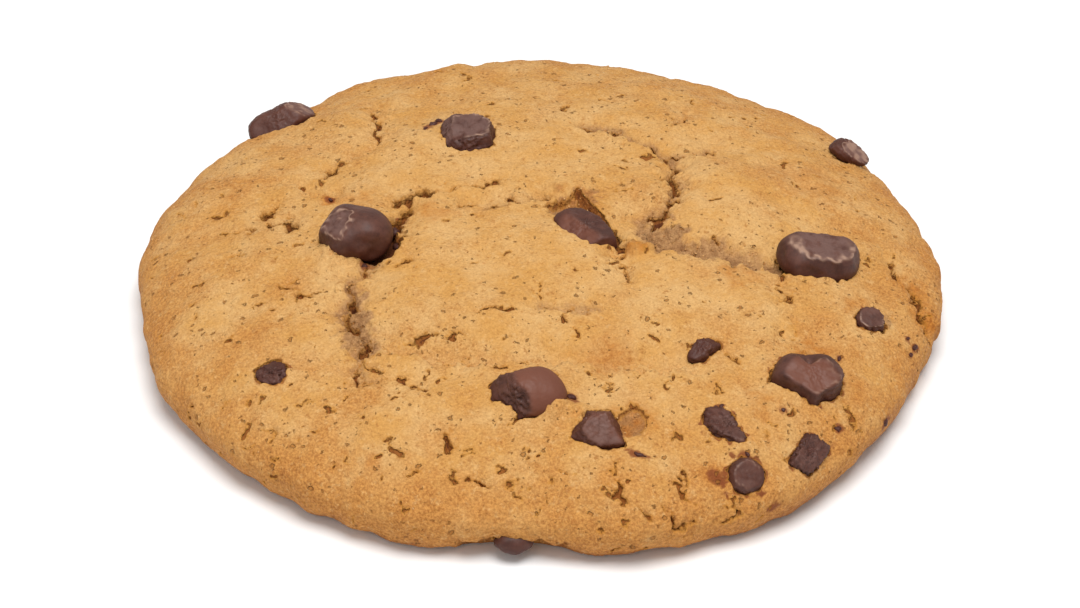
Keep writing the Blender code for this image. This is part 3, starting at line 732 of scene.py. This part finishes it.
def gridFaces(rows, columns, closed=False):
    # four-cornered faces of a grid of points, with the last column joined to the first if closed
    r, c = np.meshgrid(np.arange(rows - 1), np.arange(columns if closed else columns - 1), indexing="ij")
    after = (c + 1) % columns
    row, nextRow = r * columns, (r + 1) * columns
    return np.stack([row + c, nextRow + c, nextRow + after, row + after], -1).reshape(-1, 4)


def squareToDisc(count):
    # even cells of a square laid on a disc of radius one: the larger of the two sides is the radius and
    # the smaller over the larger is the share of an eighth turn
    side = np.linspace(-1.0, 1.0, count)
    a, b = np.meshgrid(side, side)
    wide = np.abs(a) >= np.abs(b)
    safeA = np.where(a == 0, 1e-9, a)
    safeB = np.where(b == 0, 1e-9, b)
    angle = np.where(wide, 0.25 * math.pi * b / safeA, 0.5 * math.pi - 0.25 * math.pi * a / safeB)
    radius = np.where(wide, a, b)
    return radius * np.cos(angle), radius * np.sin(angle)


def makeDough():
    # top: a square grid laid on the sheet's disc. underside: rings that shrink from the top's border to a
    # pole, with a shallow uneven hollow. Both share the border, then the mesh is thinned, least
    # at the openings
    count = crust["grid"]
    a, b = squareToDisc(count)
    p, q = a.ravel() * footArc, b.ravel() * footArc
    top = crustPoint(p, q)
    fade = softStep(footArc, footArc - 1.2, np.hypot(p, q))
    top = blankPoint(p, q) * (1 - fade[:, None]) + top * fade[:, None]
    top[:, 2] = np.maximum(top[:, 2], 0.0)
    topFaces = gridFaces(count, count)[:, ::-1]

    index = np.arange(count * count).reshape(count, count)
    border = np.concatenate([index[0, :-1], index[:-1, -1], index[-1, :0:-1], index[:0:-1, 0]])
    rings = crust["rings"]
    shrink = np.linspace(1.0, 0.0, rings + 1)[1:-1]
    edgeXY = top[border][:, :2]
    underXY = edgeXY[None] * shrink[:, None, None]
    hollow = 0.05 * noiseSheet(61, 4.0, 18.0)
    deep = readSheet(hollow, underXY[..., 0], underXY[..., 1])
    lift = (crust["hollow"] + deep).clip(0.0, 0.4) * softStep(1.0, 0.96, shrink)[:, None]
    under = np.concatenate([underXY, lift[..., None]], -1).reshape(-1, 3)
    pole = np.array([[0.0, 0.0, crust["hollow"]]])
    first = count * count
    around = len(border)
    ringIndex = np.concatenate([border[None], first + np.arange((rings - 1) * around).reshape(rings - 1, around)])
    after = np.roll(ringIndex, -1, axis=1)
    underFaces = np.stack([ringIndex[:-1], ringIndex[1:], after[1:], after[:-1]], -1).reshape(-1, 4)
    last = ringIndex[-1]
    poleFaces = np.stack([last, np.full(around, first + len(under)), np.roll(last, -1)], -1)
    points = np.concatenate([top, under, pole])

    masks = {name: readSheet(values, p, q) for name, values in crustMasks.items()}
    spots = noiseSheet(63, 3.5, 12.0)
    underBake = 0.95 + 0.10 * readSheet(spots, under[:, 0], under[:, 1])
    extra = len(under) + 1
    for name in masks:
        rest = np.append(underBake, 1.0) if name == "bake" else np.zeros(extra)
        masks[name] = np.append(masks[name], rest)
    masks["sheetP"] = np.append(p, np.zeros(extra))
    masks["sheetQ"] = np.append(q, np.zeros(extra))
    thick = makeMesh("dough_crust", points, [topFaces, underFaces, poleFaces], masks)
    underside = np.arange(len(thick.data.polygons)) >= len(topFaces)       # kept as the material's number
    thick.data.polygons.foreach_set("material_index", underside.astype(np.int32))
    keep = thick.vertex_groups.new(name="openings")
    keep.add(np.flatnonzero((masks["slit"] > 0.22) | (masks["crumb"] > 0.4)).tolist(), 1.0, "REPLACE")
    thin = thick.modifiers.new("thin", "DECIMATE")
    thin.vertex_group = keep.name
    thin.invert_vertex_group = True
    thin.vertex_group_factor = 1.0
    faces = 2 * (len(topFaces) + len(underFaces)) + len(poleFaces)
    thin.ratio = min(1.0, crust["triangles"] / faces)
    graph = bpy.context.evaluated_depsgraph_get()
    mesh = bpy.data.meshes.new_from_object(thick.evaluated_get(graph))
    thick.modifiers.clear()
    thick.data = mesh
    thick.vertex_groups.clear()
    layOutForBaking(mesh)
    return thick


def readAll(rows, field, kind=np.int32, each=1):
    # one number, or each of a few, from every row of a mesh's list
    values = np.empty(len(rows) * each, kind)
    rows.foreach_get(field, values)
    return values


def layOutForBaking(mesh):
    # two round islands: the unrolled top, and the underside seen square on
    corner = readAll(mesh.loops, "vertex_index")
    sides = readAll(mesh.polygons, "material_index")
    side = np.repeat(sides, readAll(mesh.polygons, "loop_total"))
    place = readAll(mesh.vertices, "co", float, 3).reshape(-1, 3) / mm
    spread = np.stack([readAll(mesh.attributes[name].data, "value", float) for name in ("sheetP", "sheetQ")], -1)
    topUV = 0.365 + 0.36 * spread / footArc            # middle and half size of each island
    underUV = 0.785 + 0.205 * place[:, :2] / 48.0
    uv = np.where(side[:, None] == 0, topUV[corner], underUV[corner])
    layer = mesh.uv_layers.new(name="OFBake")
    layer.uv.foreach_set("vector", uv.astype(np.float32).ravel())
    mesh.polygons.foreach_set("material_index", np.zeros(len(sides), np.int32))
    for name in ("sheetP", "sheetQ"):
        mesh.attributes.remove(mesh.attributes[name])


def starShape(half, flats, rows, columns, seed, rough, turn=0.0, dents=()):
    # a closed skin: rays at even steps from pole to pole and round, each as long as starReach says, with fine
    # roughness. Returns points, what starReach gives, and the faces
    polar = np.linspace(0.0, math.pi, rows + 1)
    around = np.arange(columns) * 2.0 * math.pi / columns
    t, a = np.meshgrid(polar[1:-1], around, indexing="ij")
    ray = np.stack([np.sin(t) * np.cos(a), np.sin(t) * np.sin(a), np.cos(t)], -1).reshape(-1, 3)
    ray = np.concatenate([ray, [[0.0, 0.0, 1.0]], [[0.0, 0.0, -1.0]]])
    length, rule, reach = starReach(ray, half, flats, seed, turn, dents)
    points = ray * length[:, None]
    points += ray * (rough * (ripple(points, seed + 9, 0.6) + 0.5 * ripple(points, seed + 13, 0.3)))[:, None]
    sides = gridFaces(rows - 1, columns, closed=True)
    lower = len(ray) - 1
    upper = len(ray) - 2
    ring = np.arange(columns)
    cap = np.stack([np.full(columns, upper), ring, np.roll(ring, -1)], -1)
    base = (rows - 2) * columns + ring
    foot = np.stack([base, np.full(columns, lower), np.roll(base, -1)], -1)
    return points, rule, reach, [sides, np.concatenate([cap, foot])]


# what all chips share
chipShape = {
    "large": (72, 108),    # rows and columns of a chip more than 3.4 mm in half length
    "small": (48, 72),
    "rough": 0.006,        # mm
    "lumps": 0.080,        # mm, how lumpy a broken face is
    "rimWidth": 0.035,     # of a worn edge, where the chip doesn't say
    "rimRise": 0.07,       # mm that a worn edge stands proud
    "meltAndShade": 0.75,        # how dark and red the lowest part is: partly melted chocolate where it touched hot dough, partly painted shade low on the chip
}


def makeChip(name, chip):
    # a star shape with each flat's finish where that flat rules, lumps where it is broken, a worn edge and a
    # melted foot darkened partly as painted shade, set in its place
    seed = chipSeeds[name]
    rows, columns = chipShape["large" if chip["half"][0] > 3.4 else "small"]
    finish = np.array([chip["skin"]] + [flat[2:] for flat in chip["flats"]])        # bloomed, pale, broken
    points, rule, reach, faces = starShape(chip["half"], chip["flats"], rows, columns, seed, chipShape["rough"],
                                           chip["turn"], chip.get("dents", ()))
    bloom, milk, broken = (finish[:, kind] @ rule for kind in range(3))
    lumpy = ripple(points, seed + 9, 0.55) + 0.6 * ripple(points, seed + 13, 0.27)
    outward = points / np.linalg.norm(points, axis=1, keepdims=True)
    points = points + outward * (chipShape["lumps"] * broken * lumpy)[:, None]
    # the worn edge: where the flat's reach and the shortest of the others are about equal, moved to and fro
    # by a lobed noise, so that it is wavy; it is pale and stands a little proud
    flat, toward, strength = chip["rim"]
    others = np.min(np.delete(reach, flat, axis=0), axis=0)
    lobes = ripple(points, seed + 21, 1.25)
    offset = np.log(others / reach[flat]) - 0.045 * lobes - 0.02
    facing = softStep(-0.25, 0.45, outward @ ownTurn(toward, chip["turn"]))
    rim = np.exp(-(offset / chip.get("rimWidth", chipShape["rimWidth"])) ** 2) * facing * strength
    rim = rim * (0.3 + 0.7 * softStep(-1.1, 0.3, ripple(points, seed + 25, 0.9)))
    rim = np.maximum(rim, chip.get("worn", 0.0) * softStep(0.0, 0.10, offset) * softStep(-0.6, 0.5, lobes))
    points = points + outward * (chipShape["rimRise"] * rim)[:, None]
    # the foot is the lowest part of the chip, waved by the lobes; its dark red is partly melted chocolate and partly
    # painted shade where the chip sits low in the crust
    meltAndShade = chipShape["meltAndShade"] * softStep(0.28, -0.20, points[:, 2] / chip["half"][2] + 0.12 * lobes)
    # each chip's own dark red share, waved by the lobes; on the chip under the near lip it is painted shade
    meltAndShade = np.maximum(meltAndShade, chip.get("meltAndShade", 0.0) * softStep(-1.0, 1.0, lobes))
    masks = {"bloom": bloom, "rim": rim, "milk": milk, "broken": broken, "meltAndShade": meltAndShade}
    masks = {mask: values.clip(0, 1) for mask, values in masks.items()}
    middle, axes = chipPlace(name)[:2]
    piece = makeMesh(name + "_skin", points @ axes + middle, faces, masks)
    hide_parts(name)
    return piece


dough = makeDough()
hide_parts("dough")
print("dough:", len(dough.data.polygons), "triangles")
chipPieces = [makeChip(name, chip) for name, chip in chips.items()]
print("chips:", len(chipPieces))


def makeFlecks():
    # small cut lumps of chocolate, each a star shape with random flats, half sunk in the crust
    draw = np.random.default_rng(71)
    allPoints, allFaces, start = [], ([], []), 0
    for x, y, long, wide, turn in flecks:
        flats = [(draw.standard_normal(3), 0.75 * wide) for side in range(4)]
        points, *ruling, faces = starShape((long, wide, 0.8 * wide), flats, 12, 18, int(draw.integers(9999)), 0.02)
        p, q = unroll(x, y)
        spot = crustPoint(np.array([p]), np.array([q]))[0]
        upright = blankNormal(np.array(p), np.array(q))
        turn = math.radians(turn)
        flat = np.array([math.cos(turn), math.sin(turn), 0.0])
        flat = flat - upright * flat.dot(upright)
        flat /= np.linalg.norm(flat)
        axes = np.array([flat, np.cross(upright, flat), upright])
        allPoints.append(points @ axes + spot - upright * 0.10 * wide)
        for gathered, corners in zip(allFaces, faces):
            gathered.append(corners + start)
        start += len(points)
    finish = {"bloom": 0.0, "rim": 0.0, "milk": 0.0, "broken": 0.7, "meltAndShade": 1.0}
    return makeMesh("chocolate_flecks", np.concatenate(allPoints), [np.concatenate(rows) for rows in allFaces],
                    {name: np.full(start, value) for name, value in finish.items()})


# loose crumbs of dough: how many lie anywhere, how many in the broken crumb, and their half sizes
crumbs = {"anywhere": 260, "inCracks": 420, "smallest": 0.06, "largest": 0.20, "tried": 9000}


def makeCrumbs():
    # many twenty-sided lumps at once: every corner of a regular solid is pushed in or out at random,
    # then each lump is stretched, turned and set on the crust
    draw = np.random.default_rng(81)
    golden = (1.0 + math.sqrt(5.0)) / 2.0
    corners = np.array([(a, b * golden, 0.0) for a in (-1, 1) for b in (-1, 1)])
    solid = np.concatenate([corners, corners[:, [2, 0, 1]], corners[:, [1, 2, 0]]])
    solid /= np.linalg.norm(solid[0])
    gap = np.linalg.norm(solid[:, None] - solid[None], axis=-1)
    near = (gap > 0.1) & (gap < 1.2)
    sides = [(i, j, k) for i in range(12) for j in range(i + 1, 12) for k in range(j + 1, 12)
             if near[i, j] and near[j, k] and near[i, k]]
    sides = np.array([side if np.dot(np.cross(solid[side[1]] - solid[side[0]], solid[side[2]] - solid[side[0]]),
                      solid[side[0]]) > 0 else side[::-1] for side in sides])
    tried = crumbs["tried"]
    arc = 0.97 * rimArc * np.sqrt(draw.random(tried))
    angle = draw.random(tried) * 2.0 * math.pi
    p, q = arc * np.cos(angle), arc * np.sin(angle)
    broken = readSheet(crustMasks["crumb"], p, q)
    chosen = np.append(np.flatnonzero(broken > 0.45)[:crumbs["inCracks"]], np.arange(tried)[-crumbs["anywhere"]:])
    p, q = p[chosen], q[chosen]
    many = len(p)
    size = np.exp(draw.uniform(math.log(crumbs["smallest"]), math.log(crumbs["largest"]), many))
    shape = draw.uniform(0.6, 1.0, (many, 1, 3)) * size[:, None, None]
    lump = solid[None] * draw.uniform(0.72, 1.15, (many, 12, 1)) * shape
    turn = draw.random((many, 1)) * 2.0 * math.pi
    x = lump[..., 0] * np.cos(turn) - lump[..., 1] * np.sin(turn)
    y = lump[..., 0] * np.sin(turn) + lump[..., 1] * np.cos(turn)
    placed = np.stack([x, y, lump[..., 2]], -1) + crustPoint(p, q)[:, None]
    faces = (sides[None] + 12 * np.arange(many)[:, None, None]).reshape(-1, 3)
    tone = np.repeat(draw.random(many), 12)
    return makeMesh("dough_crumbs", placed.reshape(-1, 3), [faces], {"tone": tone})


fleckPiece = makeFlecks()
crumbPiece = makeCrumbs()
print("flecks:", len(flecks), "crumbs:", len(crumbPiece.data.polygons) // 20)


def colour(red, green, blue):
    # a colour as the eye names it, 0 to 255, turned to light: the power 2.2 curve with its straight foot
    parts = [part / 255.0 for part in (red, green, blue)]
    return tuple(part / 12.92 if part <= 0.04045 else ((part + 0.055) / 1.055) ** 2.4 for part in parts) + (1.0,)


class Board:
    # a node tree with short ways to add and join nodes: sum and its three short forms are arithmetic, blend
    # mixes two colours by a share, ramp turns one range into another with a smooth step
    def __init__(self, tree):
        self.tree = tree

    def node(self, kind, **settings):
        made = self.tree.nodes.new(kind)
        for key, value in settings.items():
            setattr(made, key, value)
        return made

    def join(self, source, target):
        self.tree.links.new(source, target)

    def feed(self, socket, value):
        if isinstance(value, bpy.types.NodeSocket):
            self.join(value, socket)
        else:
            socket.default_value = value

    def sum(self, operation, first, second, clamp=False):
        made = self.node("ShaderNodeMath", operation=operation, use_clamp=clamp)
        self.feed(made.inputs[0], first)
        self.feed(made.inputs[1], second)
        return made.outputs[0]

    def plus(self, first, second, clamp=False):
        return self.sum("ADD", first, second, clamp)

    def less(self, first, second):
        return self.sum("SUBTRACT", first, second)

    def times(self, first, second):
        return self.sum("MULTIPLY", first, second)

    def voronoi(self, place, size):
        # size in mm
        made = self.node("ShaderNodeTexVoronoi", feature="F1")
        self.join(place, made.inputs["Vector"])
        made.inputs["Scale"].default_value = 1000.0 / size
        return made.outputs

    def bump(self, shader, height, strength, deep):
        # deep in mm
        made = self.node("ShaderNodeBump")
        made.inputs["Strength"].default_value = strength
        made.inputs["Distance"].default_value = deep * mm
        self.join(height, made.inputs["Height"])
        self.join(made.outputs["Normal"], shader.inputs["Normal"])

    def blend(self, share, first, second, way="MIX"):
        made = self.node("ShaderNodeMix", data_type="RGBA", blend_type=way)
        self.feed(made.inputs[0], share)
        self.feed(made.inputs[6], first)
        self.feed(made.inputs[7], second)
        return made.outputs[2]

    def noise(self, place, size, detail=3.0, rough=0.55, distort=0.0, out="Fac"):
        # size in mm
        made = self.node("ShaderNodeTexNoise")
        self.join(place, made.inputs["Vector"])
        values = {"Scale": 1000.0 / size, "Detail": detail, "Roughness": rough, "Distortion": distort}
        for name, value in values.items():
            made.inputs[name].default_value = value
        return made.outputs[out]

    def ramp(self, value, low, high, fromLow=0.0, fromHigh=1.0):
        made = self.node("ShaderNodeMapRange", interpolation_type="SMOOTHSTEP")
        self.feed(made.inputs["Value"], value)
        for name, end in (("From Min", fromLow), ("From Max", fromHigh), ("To Min", low), ("To Max", high)):
            made.inputs[name].default_value = end
        return made.outputs["Result"]

    def mask(self, name):
        return self.node("ShaderNodeAttribute", attribute_name=name).outputs["Fac"]


def newGroup(name, inputs, outputs):
    # an empty node group of plain numbers: inputs with their values, and outputs
    tree = bpy.data.node_groups.new(name, "ShaderNodeTree")
    for label, value in inputs.items():
        socket = tree.interface.new_socket(name=label, in_out="INPUT", socket_type="NodeSocketFloat")
        socket.default_value = value
    for label in outputs:
        tree.interface.new_socket(name=label, in_out="OUTPUT", socket_type="NodeSocketFloat")
    return Board(tree), tree.nodes.new("NodeGroupInput"), tree.nodes.new("NodeGroupOutput")


def makeBakedGrain():
    # crust grain for dough and crumbs: fine height, slow tone, fine tone, pale and dark specks, and pores,
    # which are the middles of bent cells, kept in one cell out of a few
    board, given, out = newGroup("bakedGrain", {"Coarseness": 0.5, "Pores": 0.5},
                                 ("Height", "Tone", "Grain", "Pale specks", "Dark specks", "Pore mask", "Ragged"))
    place = board.node("ShaderNodeTexCoord").outputs["Object"]
    fine = board.noise(place, 0.42, 4.0, 0.65)
    tiny = board.noise(place, 0.17, 2.0, 0.6)
    slow = board.noise(place, 5.5, 4.0, 0.6)
    bend = board.node("ShaderNodeVectorMath", operation="MULTIPLY_ADD")
    board.join(board.noise(place, 0.75, 3.0, 0.7, out="Color"), bend.inputs[0])
    bend.inputs[1].default_value = (1.1 * mm, 1.1 * mm, 1.1 * mm)
    board.join(place, bend.inputs[2])
    pores = None
    for size, radius, share in ((1.15, 0.32, 0.38), (0.60, 0.28, 0.32)):
        cells = board.voronoi(bend.outputs[0], size)
        luck = board.node("ShaderNodeSeparateColor")
        board.join(cells["Color"], luck.inputs[0])
        chosen = board.plus(share - 0.5, board.times(slow, 0.6))
        chosen = board.times(chosen, board.times(given.outputs["Pores"], 2.0))
        kept = board.sum("LESS_THAN", luck.outputs[0], chosen)
        width = board.times(board.plus(luck.outputs[1], 0.4), radius / 1.4)
        inside = board.sum("DIVIDE", cells["Distance"], width)
        pore = board.times(board.ramp(inside, 1.0, 0.0, 0.55, 1.0), kept)
        pores = pore if pores is None else board.sum("MAXIMUM", pores, pore)
    board.join(pores, out.inputs["Pore mask"])
    knobs = board.ramp(board.voronoi(place, 0.55)["Distance"], 1.0, 0.0, 0.1, 0.7)
    broad = board.noise(place, 1.3, 3.0, 0.6)
    height = board.plus(board.times(fine, 0.9), board.times(tiny, 0.45))
    height = board.plus(height, board.times(broad, 1.3))
    height = board.plus(height, board.times(knobs, board.times(given.outputs["Coarseness"], 0.5)))
    height = board.less(height, board.times(pores, 1.6))
    board.join(height, out.inputs["Height"])
    board.join(board.ramp(slow, 0.0, 1.0, 0.3, 0.7), out.inputs["Tone"])
    board.join(board.ramp(board.noise(place, 0.30, 3.0, 0.7), 0.0, 1.0, 0.32, 0.68), out.inputs["Grain"])
    speck = board.noise(place, 0.8, 3.0, 0.65)
    board.join(board.ramp(speck, 0.0, 1.0, 0.54, 0.72), out.inputs["Pale specks"])
    dark = board.noise(place, 0.7, 3.0, 0.7)
    board.join(board.ramp(dark, 1.0, 0.0, 0.30, 0.44), out.inputs["Dark specks"])
    board.join(board.noise(place, 0.45, 3.0, 0.7), out.inputs["Ragged"])
    return board.tree


def makeChocolateSkin():
    # fat bloom and scuffs for chips and flecks
    board, given, out = newGroup("chocolateSkin", {"Bloom": 0.0, "Broken": 0.0},
                                 ("Height", "Bloom mask", "Tone", "Scuff"))
    place = board.node("ShaderNodeTexCoord").outputs["Object"]
    cloud = board.noise(place, 1.6, 4.0, 0.62, 0.4)
    fine = board.noise(place, 0.24, 4.0, 0.65)
    powder = board.ramp(board.plus(cloud, board.times(given.outputs["Bloom"], 0.24)), 0.0, 1.0, 0.50, 0.80)
    board.join(powder, out.inputs["Bloom mask"])
    board.join(board.ramp(board.noise(place, 2.2, 6.0, 0.75), 0.0, 1.0, 0.34, 0.66), out.inputs["Tone"])
    chipped = board.noise(place, 0.45, 4.0, 0.7)
    scuff = board.times(board.ramp(chipped, 0.0, 1.0, 0.5, 0.75), given.outputs["Broken"])
    board.join(scuff, out.inputs["Scuff"])
    height = board.plus(board.times(fine, 0.35), board.times(scuff, 0.9))
    board.join(height, out.inputs["Height"])
    return board.tree


bakedGrain = makeBakedGrain()
chocolateSkin = makeChocolateSkin()

doughLook = {
    "pale": colour(218, 173, 112),
    "golden": colour(210, 155, 82),
    "brown": colour(206, 144, 73),
    "foot": colour(178, 115, 56),
    "crumb": colour(196, 150, 102),
    "crumbDark": colour(146, 104, 68),
    "toast": colour(190, 118, 40),
    # pore is painted shade in the small pits of the grain
    "pore": colour(156, 98, 36),
    # the hole colour and the deep colour are painted shade: the darkening inside cracks, chip gaps, hollow feet, fold
    # creases and burst pits
    "holeShade": colour(142, 80, 28),
    "brink": colour(192, 130, 46),
    "deep": colour(84, 38, 12),
    "stain": colour(120, 56, 26),
    "speckPale": colour(226, 184, 124),
    "speckDark": colour(172, 112, 50),
    "shade": colour(172, 140, 104),      # what the fine grain is darkened by
    "roughness": 0.80,
    "gloss": 0.25,
    "coarseness": 0.6,
    "grain": 1.0,
    "grainDepth": 0.20,                  # mm
    "pores": 0.9,
}


def newMaterial(name):
    # a material, the board its nodes go on, and its shader
    material = bpy.data.materials.new(name)
    material.use_nodes = True
    board = Board(material.node_tree)
    shader = material.node_tree.nodes["Principled BSDF"]
    return material, board, shader


def doughMaterial():
    # pale to golden by slow tone, then each layer is blended over the last by its own share: browning, specks, broken
    # crumb, toast, grain, stain, pores with their painted shade, and the darker brink of every opening, then its hole
    # and deep, which are painted shade inside it
    material, board, shader = newMaterial("baked_dough_crust")
    grain = board.node("ShaderNodeGroup", node_tree=bakedGrain)
    grain.inputs["Coarseness"].default_value = doughLook["coarseness"]
    grain.inputs["Pores"].default_value = doughLook["pores"]
    place = board.node("ShaderNodeTexCoord").outputs["Object"]
    bake = board.mask("bake")
    torn = board.less(grain.outputs["Ragged"], 0.5)       # breaks up the edge of every mask
    crumbly = board.plus(board.mask("crumb"), board.times(torn, 0.5))
    stained = board.plus(board.mask("stain"), board.times(torn, 0.5))
    gaping = board.plus(board.mask("slit"), board.times(torn, 0.32))
    mottle = board.ramp(board.noise(place, 0.9, 4.0, 0.75), 0.0, 1.0, 0.36, 0.64)
    crumbTint = board.blend(mottle, doughLook["crumbDark"], doughLook["crumb"])
    patchy = board.ramp(board.noise(place, 1.8, 4.0, 0.6), 0.35, 1.0, 0.35, 0.62)
    coarse = board.plus(0.28, board.times(bake, 0.55))    # the grain shows most where it is baked most

    def layOver(tint, layers):
        for share, over in layers:
            tint = board.blend(share, tint, over)
        return tint

    tint = layOver(board.blend(grain.outputs["Tone"], doughLook["golden"], doughLook["pale"]), (
        (board.ramp(bake, 0.0, 1.0, 0.05, 0.75), doughLook["brown"]),
        (board.ramp(bake, 0.0, 1.0, 0.75, 1.05), doughLook["foot"]),
        (board.times(grain.outputs["Pale specks"], 0.50), doughLook["speckPale"]),
        (board.times(grain.outputs["Dark specks"], 0.60), doughLook["speckDark"]),
        (board.ramp(crumbly, 0.0, 0.85, 0.15, 0.75), crumbTint),
        (board.times(board.mask("toast"), board.times(patchy, 0.8)), doughLook["toast"])))
    tint = board.blend(board.times(board.less(1.0, grain.outputs["Grain"]), coarse), tint,
                       doughLook["shade"], "MULTIPLY")
    tint = layOver(tint, (
        (board.ramp(stained, 0.0, 0.85, 0.25, 0.75), doughLook["stain"]),
        # painted shade in the pores
        (board.times(grain.outputs["Pore mask"], 0.7), doughLook["pore"]),
        (board.ramp(gaping, 0.0, 0.55, 0.26, 0.46), doughLook["brink"]),
        # painted shade down inside every opening, darkest in its deep middle
        (board.ramp(gaping, 0.0, 0.85, 0.45, 0.55), doughLook["holeShade"]),
        (board.ramp(gaping, 0.0, 0.9, 0.60, 0.78), doughLook["deep"])))
    board.join(tint, shader.inputs["Base Color"])
    rough = board.ramp(grain.outputs["Tone"], doughLook["roughness"] - 0.06, doughLook["roughness"] + 0.08)
    board.join(rough, shader.inputs["Roughness"])
    shader.inputs["Specular IOR Level"].default_value = doughLook["gloss"]
    crumble = board.times(board.mask("crumb"), board.times(board.noise(place, 0.8, 4.0, 0.65), 3.0))
    height = board.plus(grain.outputs["Height"], crumble)
    height = board.less(height, board.times(board.ramp(gaping, 0.0, 1.0, 0.42, 0.58), 1.5))
    board.bump(shader, height, doughLook["grain"], doughLook["grainDepth"])
    return material


def crumbMaterial():
    # each loose crumb has its own tone between two colours, with specks
    material, board, shader = newMaterial("loose_crumb")
    grain = board.node("ShaderNodeGroup", node_tree=bakedGrain)
    grain.inputs["Coarseness"].default_value = 0.3
    tint = board.blend(board.mask("tone"), colour(178, 126, 70), colour(214, 168, 106))
    tint = board.blend(board.times(grain.outputs["Dark specks"], 0.4), tint, doughLook["brown"])
    board.join(tint, shader.inputs["Base Color"])
    shader.inputs["Roughness"].default_value = 0.82
    board.bump(shader, grain.outputs["Height"], 0.5, 0.06)
    return material


chipLook = {
    "dark": colour(66, 38, 31),
    "warm": colour(92, 56, 45),
    "milk": colour(116, 68, 50),
    "bloom": colour(112, 83, 75),
    "rim": colour(168, 134, 114),
    "broken": colour(56, 28, 22),
    # the dark red of melted chocolate, also used as painted shade low on the chips
    "meltAndShade": colour(70, 30, 20),
    "roughness": 0.52,
    "gloss": 0.28,
    "coat": 0.05,
    "bump": 0.9,
    "bumpDepth": 0.08,       # mm
}


def chipMaterial():
    # dark to warm by slow tone, then milk, the melted foot with its painted shade, bloom, scuffs and the worn rim are
    # blended over in turn
    material, board, shader = newMaterial("chocolate_chip_skin")
    skin = board.node("ShaderNodeGroup", node_tree=chocolateSkin)
    bloom = board.mask("bloom")
    broken = board.mask("broken")
    board.join(bloom, skin.inputs["Bloom"])
    board.join(broken, skin.inputs["Broken"])
    powder = board.times(skin.outputs["Bloom mask"], board.plus(board.times(bloom, 0.85), 0.04))
    shares = {"milk": board.mask("milk"), "meltAndShade": board.times(board.mask("meltAndShade"), 0.8), "bloom": powder,
              "broken": board.times(skin.outputs["Scuff"], 0.75), "rim": board.times(board.mask("rim"), 0.85)}
    tint = board.blend(skin.outputs["Tone"], chipLook["dark"], chipLook["warm"])
    for name, share in shares.items():
        tint = board.blend(share, tint, chipLook[name])
    board.join(tint, shader.inputs["Base Color"])
    rough = board.ramp(powder, chipLook["roughness"], 0.66, 0.0, 0.6)
    rough = board.plus(rough, board.times(skin.outputs["Scuff"], 0.2), True)
    board.join(rough, shader.inputs["Roughness"])
    shader.inputs["Specular IOR Level"].default_value = chipLook["gloss"]
    shader.inputs["Coat Weight"].default_value = chipLook["coat"]
    shader.inputs["Coat Roughness"].default_value = 0.3
    board.bump(shader, skin.outputs["Height"], chipLook["bump"], chipLook["bumpDepth"])
    return material


chocolate = chipMaterial()
finishes = [(dough, doughMaterial(), "baked_dough"), (crumbPiece, crumbMaterial(), "baked_dough")]
finishes += [(piece, chocolate, "chocolate") for piece in chipPieces + [fleckPiece]]
for piece, material, slot in finishes:
    piece.data.materials.clear()
    piece.data.materials.append(material)
    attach(piece, "root")
print("materials placed")


studio = {
    "floor": colour(246, 246, 246),
    "half": 1.6,           # half width of the floor
    "drop": 0.0001,        # how far it lies under the cookie's foot
    "world": 0.46,
    "key": (0.05, -0.10, 0.61, 0.42, 3.5),       # place x y z, size, power
    "fill": (-0.30, -0.50, 0.42, 0.60, 0.6),
    "litSpot": (0.0, 0.0, 0.005),                # where both lights point
    "target": (0.00014, -0.0073, 0.006),
    "elevation": 36.6,
    "distance": 0.350,
    "lens": 100.0,
}


def areaLight(name, x, y, z, size, power):
    # a round soft light, turned to the lit spot: tilt is the arc tangent of its flat distance over its height
    light = bpy.data.lights.new(name, "AREA")
    light.shape = "DISK"
    light.size = size
    light.energy = power
    lamp = bpy.data.objects.new(name, light)
    bpy.context.scene.collection.objects.link(lamp)
    lamp.location = (x, y, z)
    toward = np.array(studio["litSpot"]) - np.array([x, y, z])
    flat = math.hypot(toward[0], toward[1])
    lamp.rotation_euler = (math.atan2(flat, -toward[2]), 0.0, math.atan2(-toward[0], toward[1]))


def makeStudio():
    # floor, even white surroundings, two soft lights, and a camera on a slope that looks at the target
    corners = np.array([(-1, -1, 0), (1, -1, 0), (1, 1, 0), (-1, 1, 0)]) * studio["half"] - (0.0, 0.0, studio["drop"])
    floor = makeMesh("floor", corners / mm, [np.array([[0, 1, 2, 3]])], smooth=False)
    material, board, shader = newMaterial("floor_paper")
    shader.inputs["Base Color"].default_value = studio["floor"]
    shader.inputs["Roughness"].default_value = 0.9
    floor.data.materials.append(material)
    world = bpy.data.worlds.new("studio")
    world.use_nodes = True
    world.node_tree.nodes["Background"].inputs[0].default_value = (1.0, 0.99, 0.975, 1.0)
    world.node_tree.nodes["Background"].inputs[1].default_value = studio["world"]
    bpy.context.scene.world = world
    areaLight("key", *studio["key"])
    areaLight("fill", *studio["fill"])
    camera = bpy.data.cameras.new("camera")
    camera.lens = studio["lens"]
    camera.sensor_width = 36.0
    camera.clip_start = 0.01
    eye = bpy.data.objects.new("camera", camera)
    bpy.context.scene.collection.objects.link(eye)
    tilt = math.radians(studio["elevation"])
    x, y, z = studio["target"]
    eye.location = (x, y - studio["distance"] * math.cos(tilt), z + studio["distance"] * math.sin(tilt))
    eye.rotation_euler = (0.5 * math.pi - tilt, 0.0, 0.0)
    bpy.context.scene.camera = eye
    bpy.context.scene.view_settings.view_transform = "Standard"
    bpy.context.scene.view_settings.look = "None"


makeStudio()
print("floor, light and camera placed")
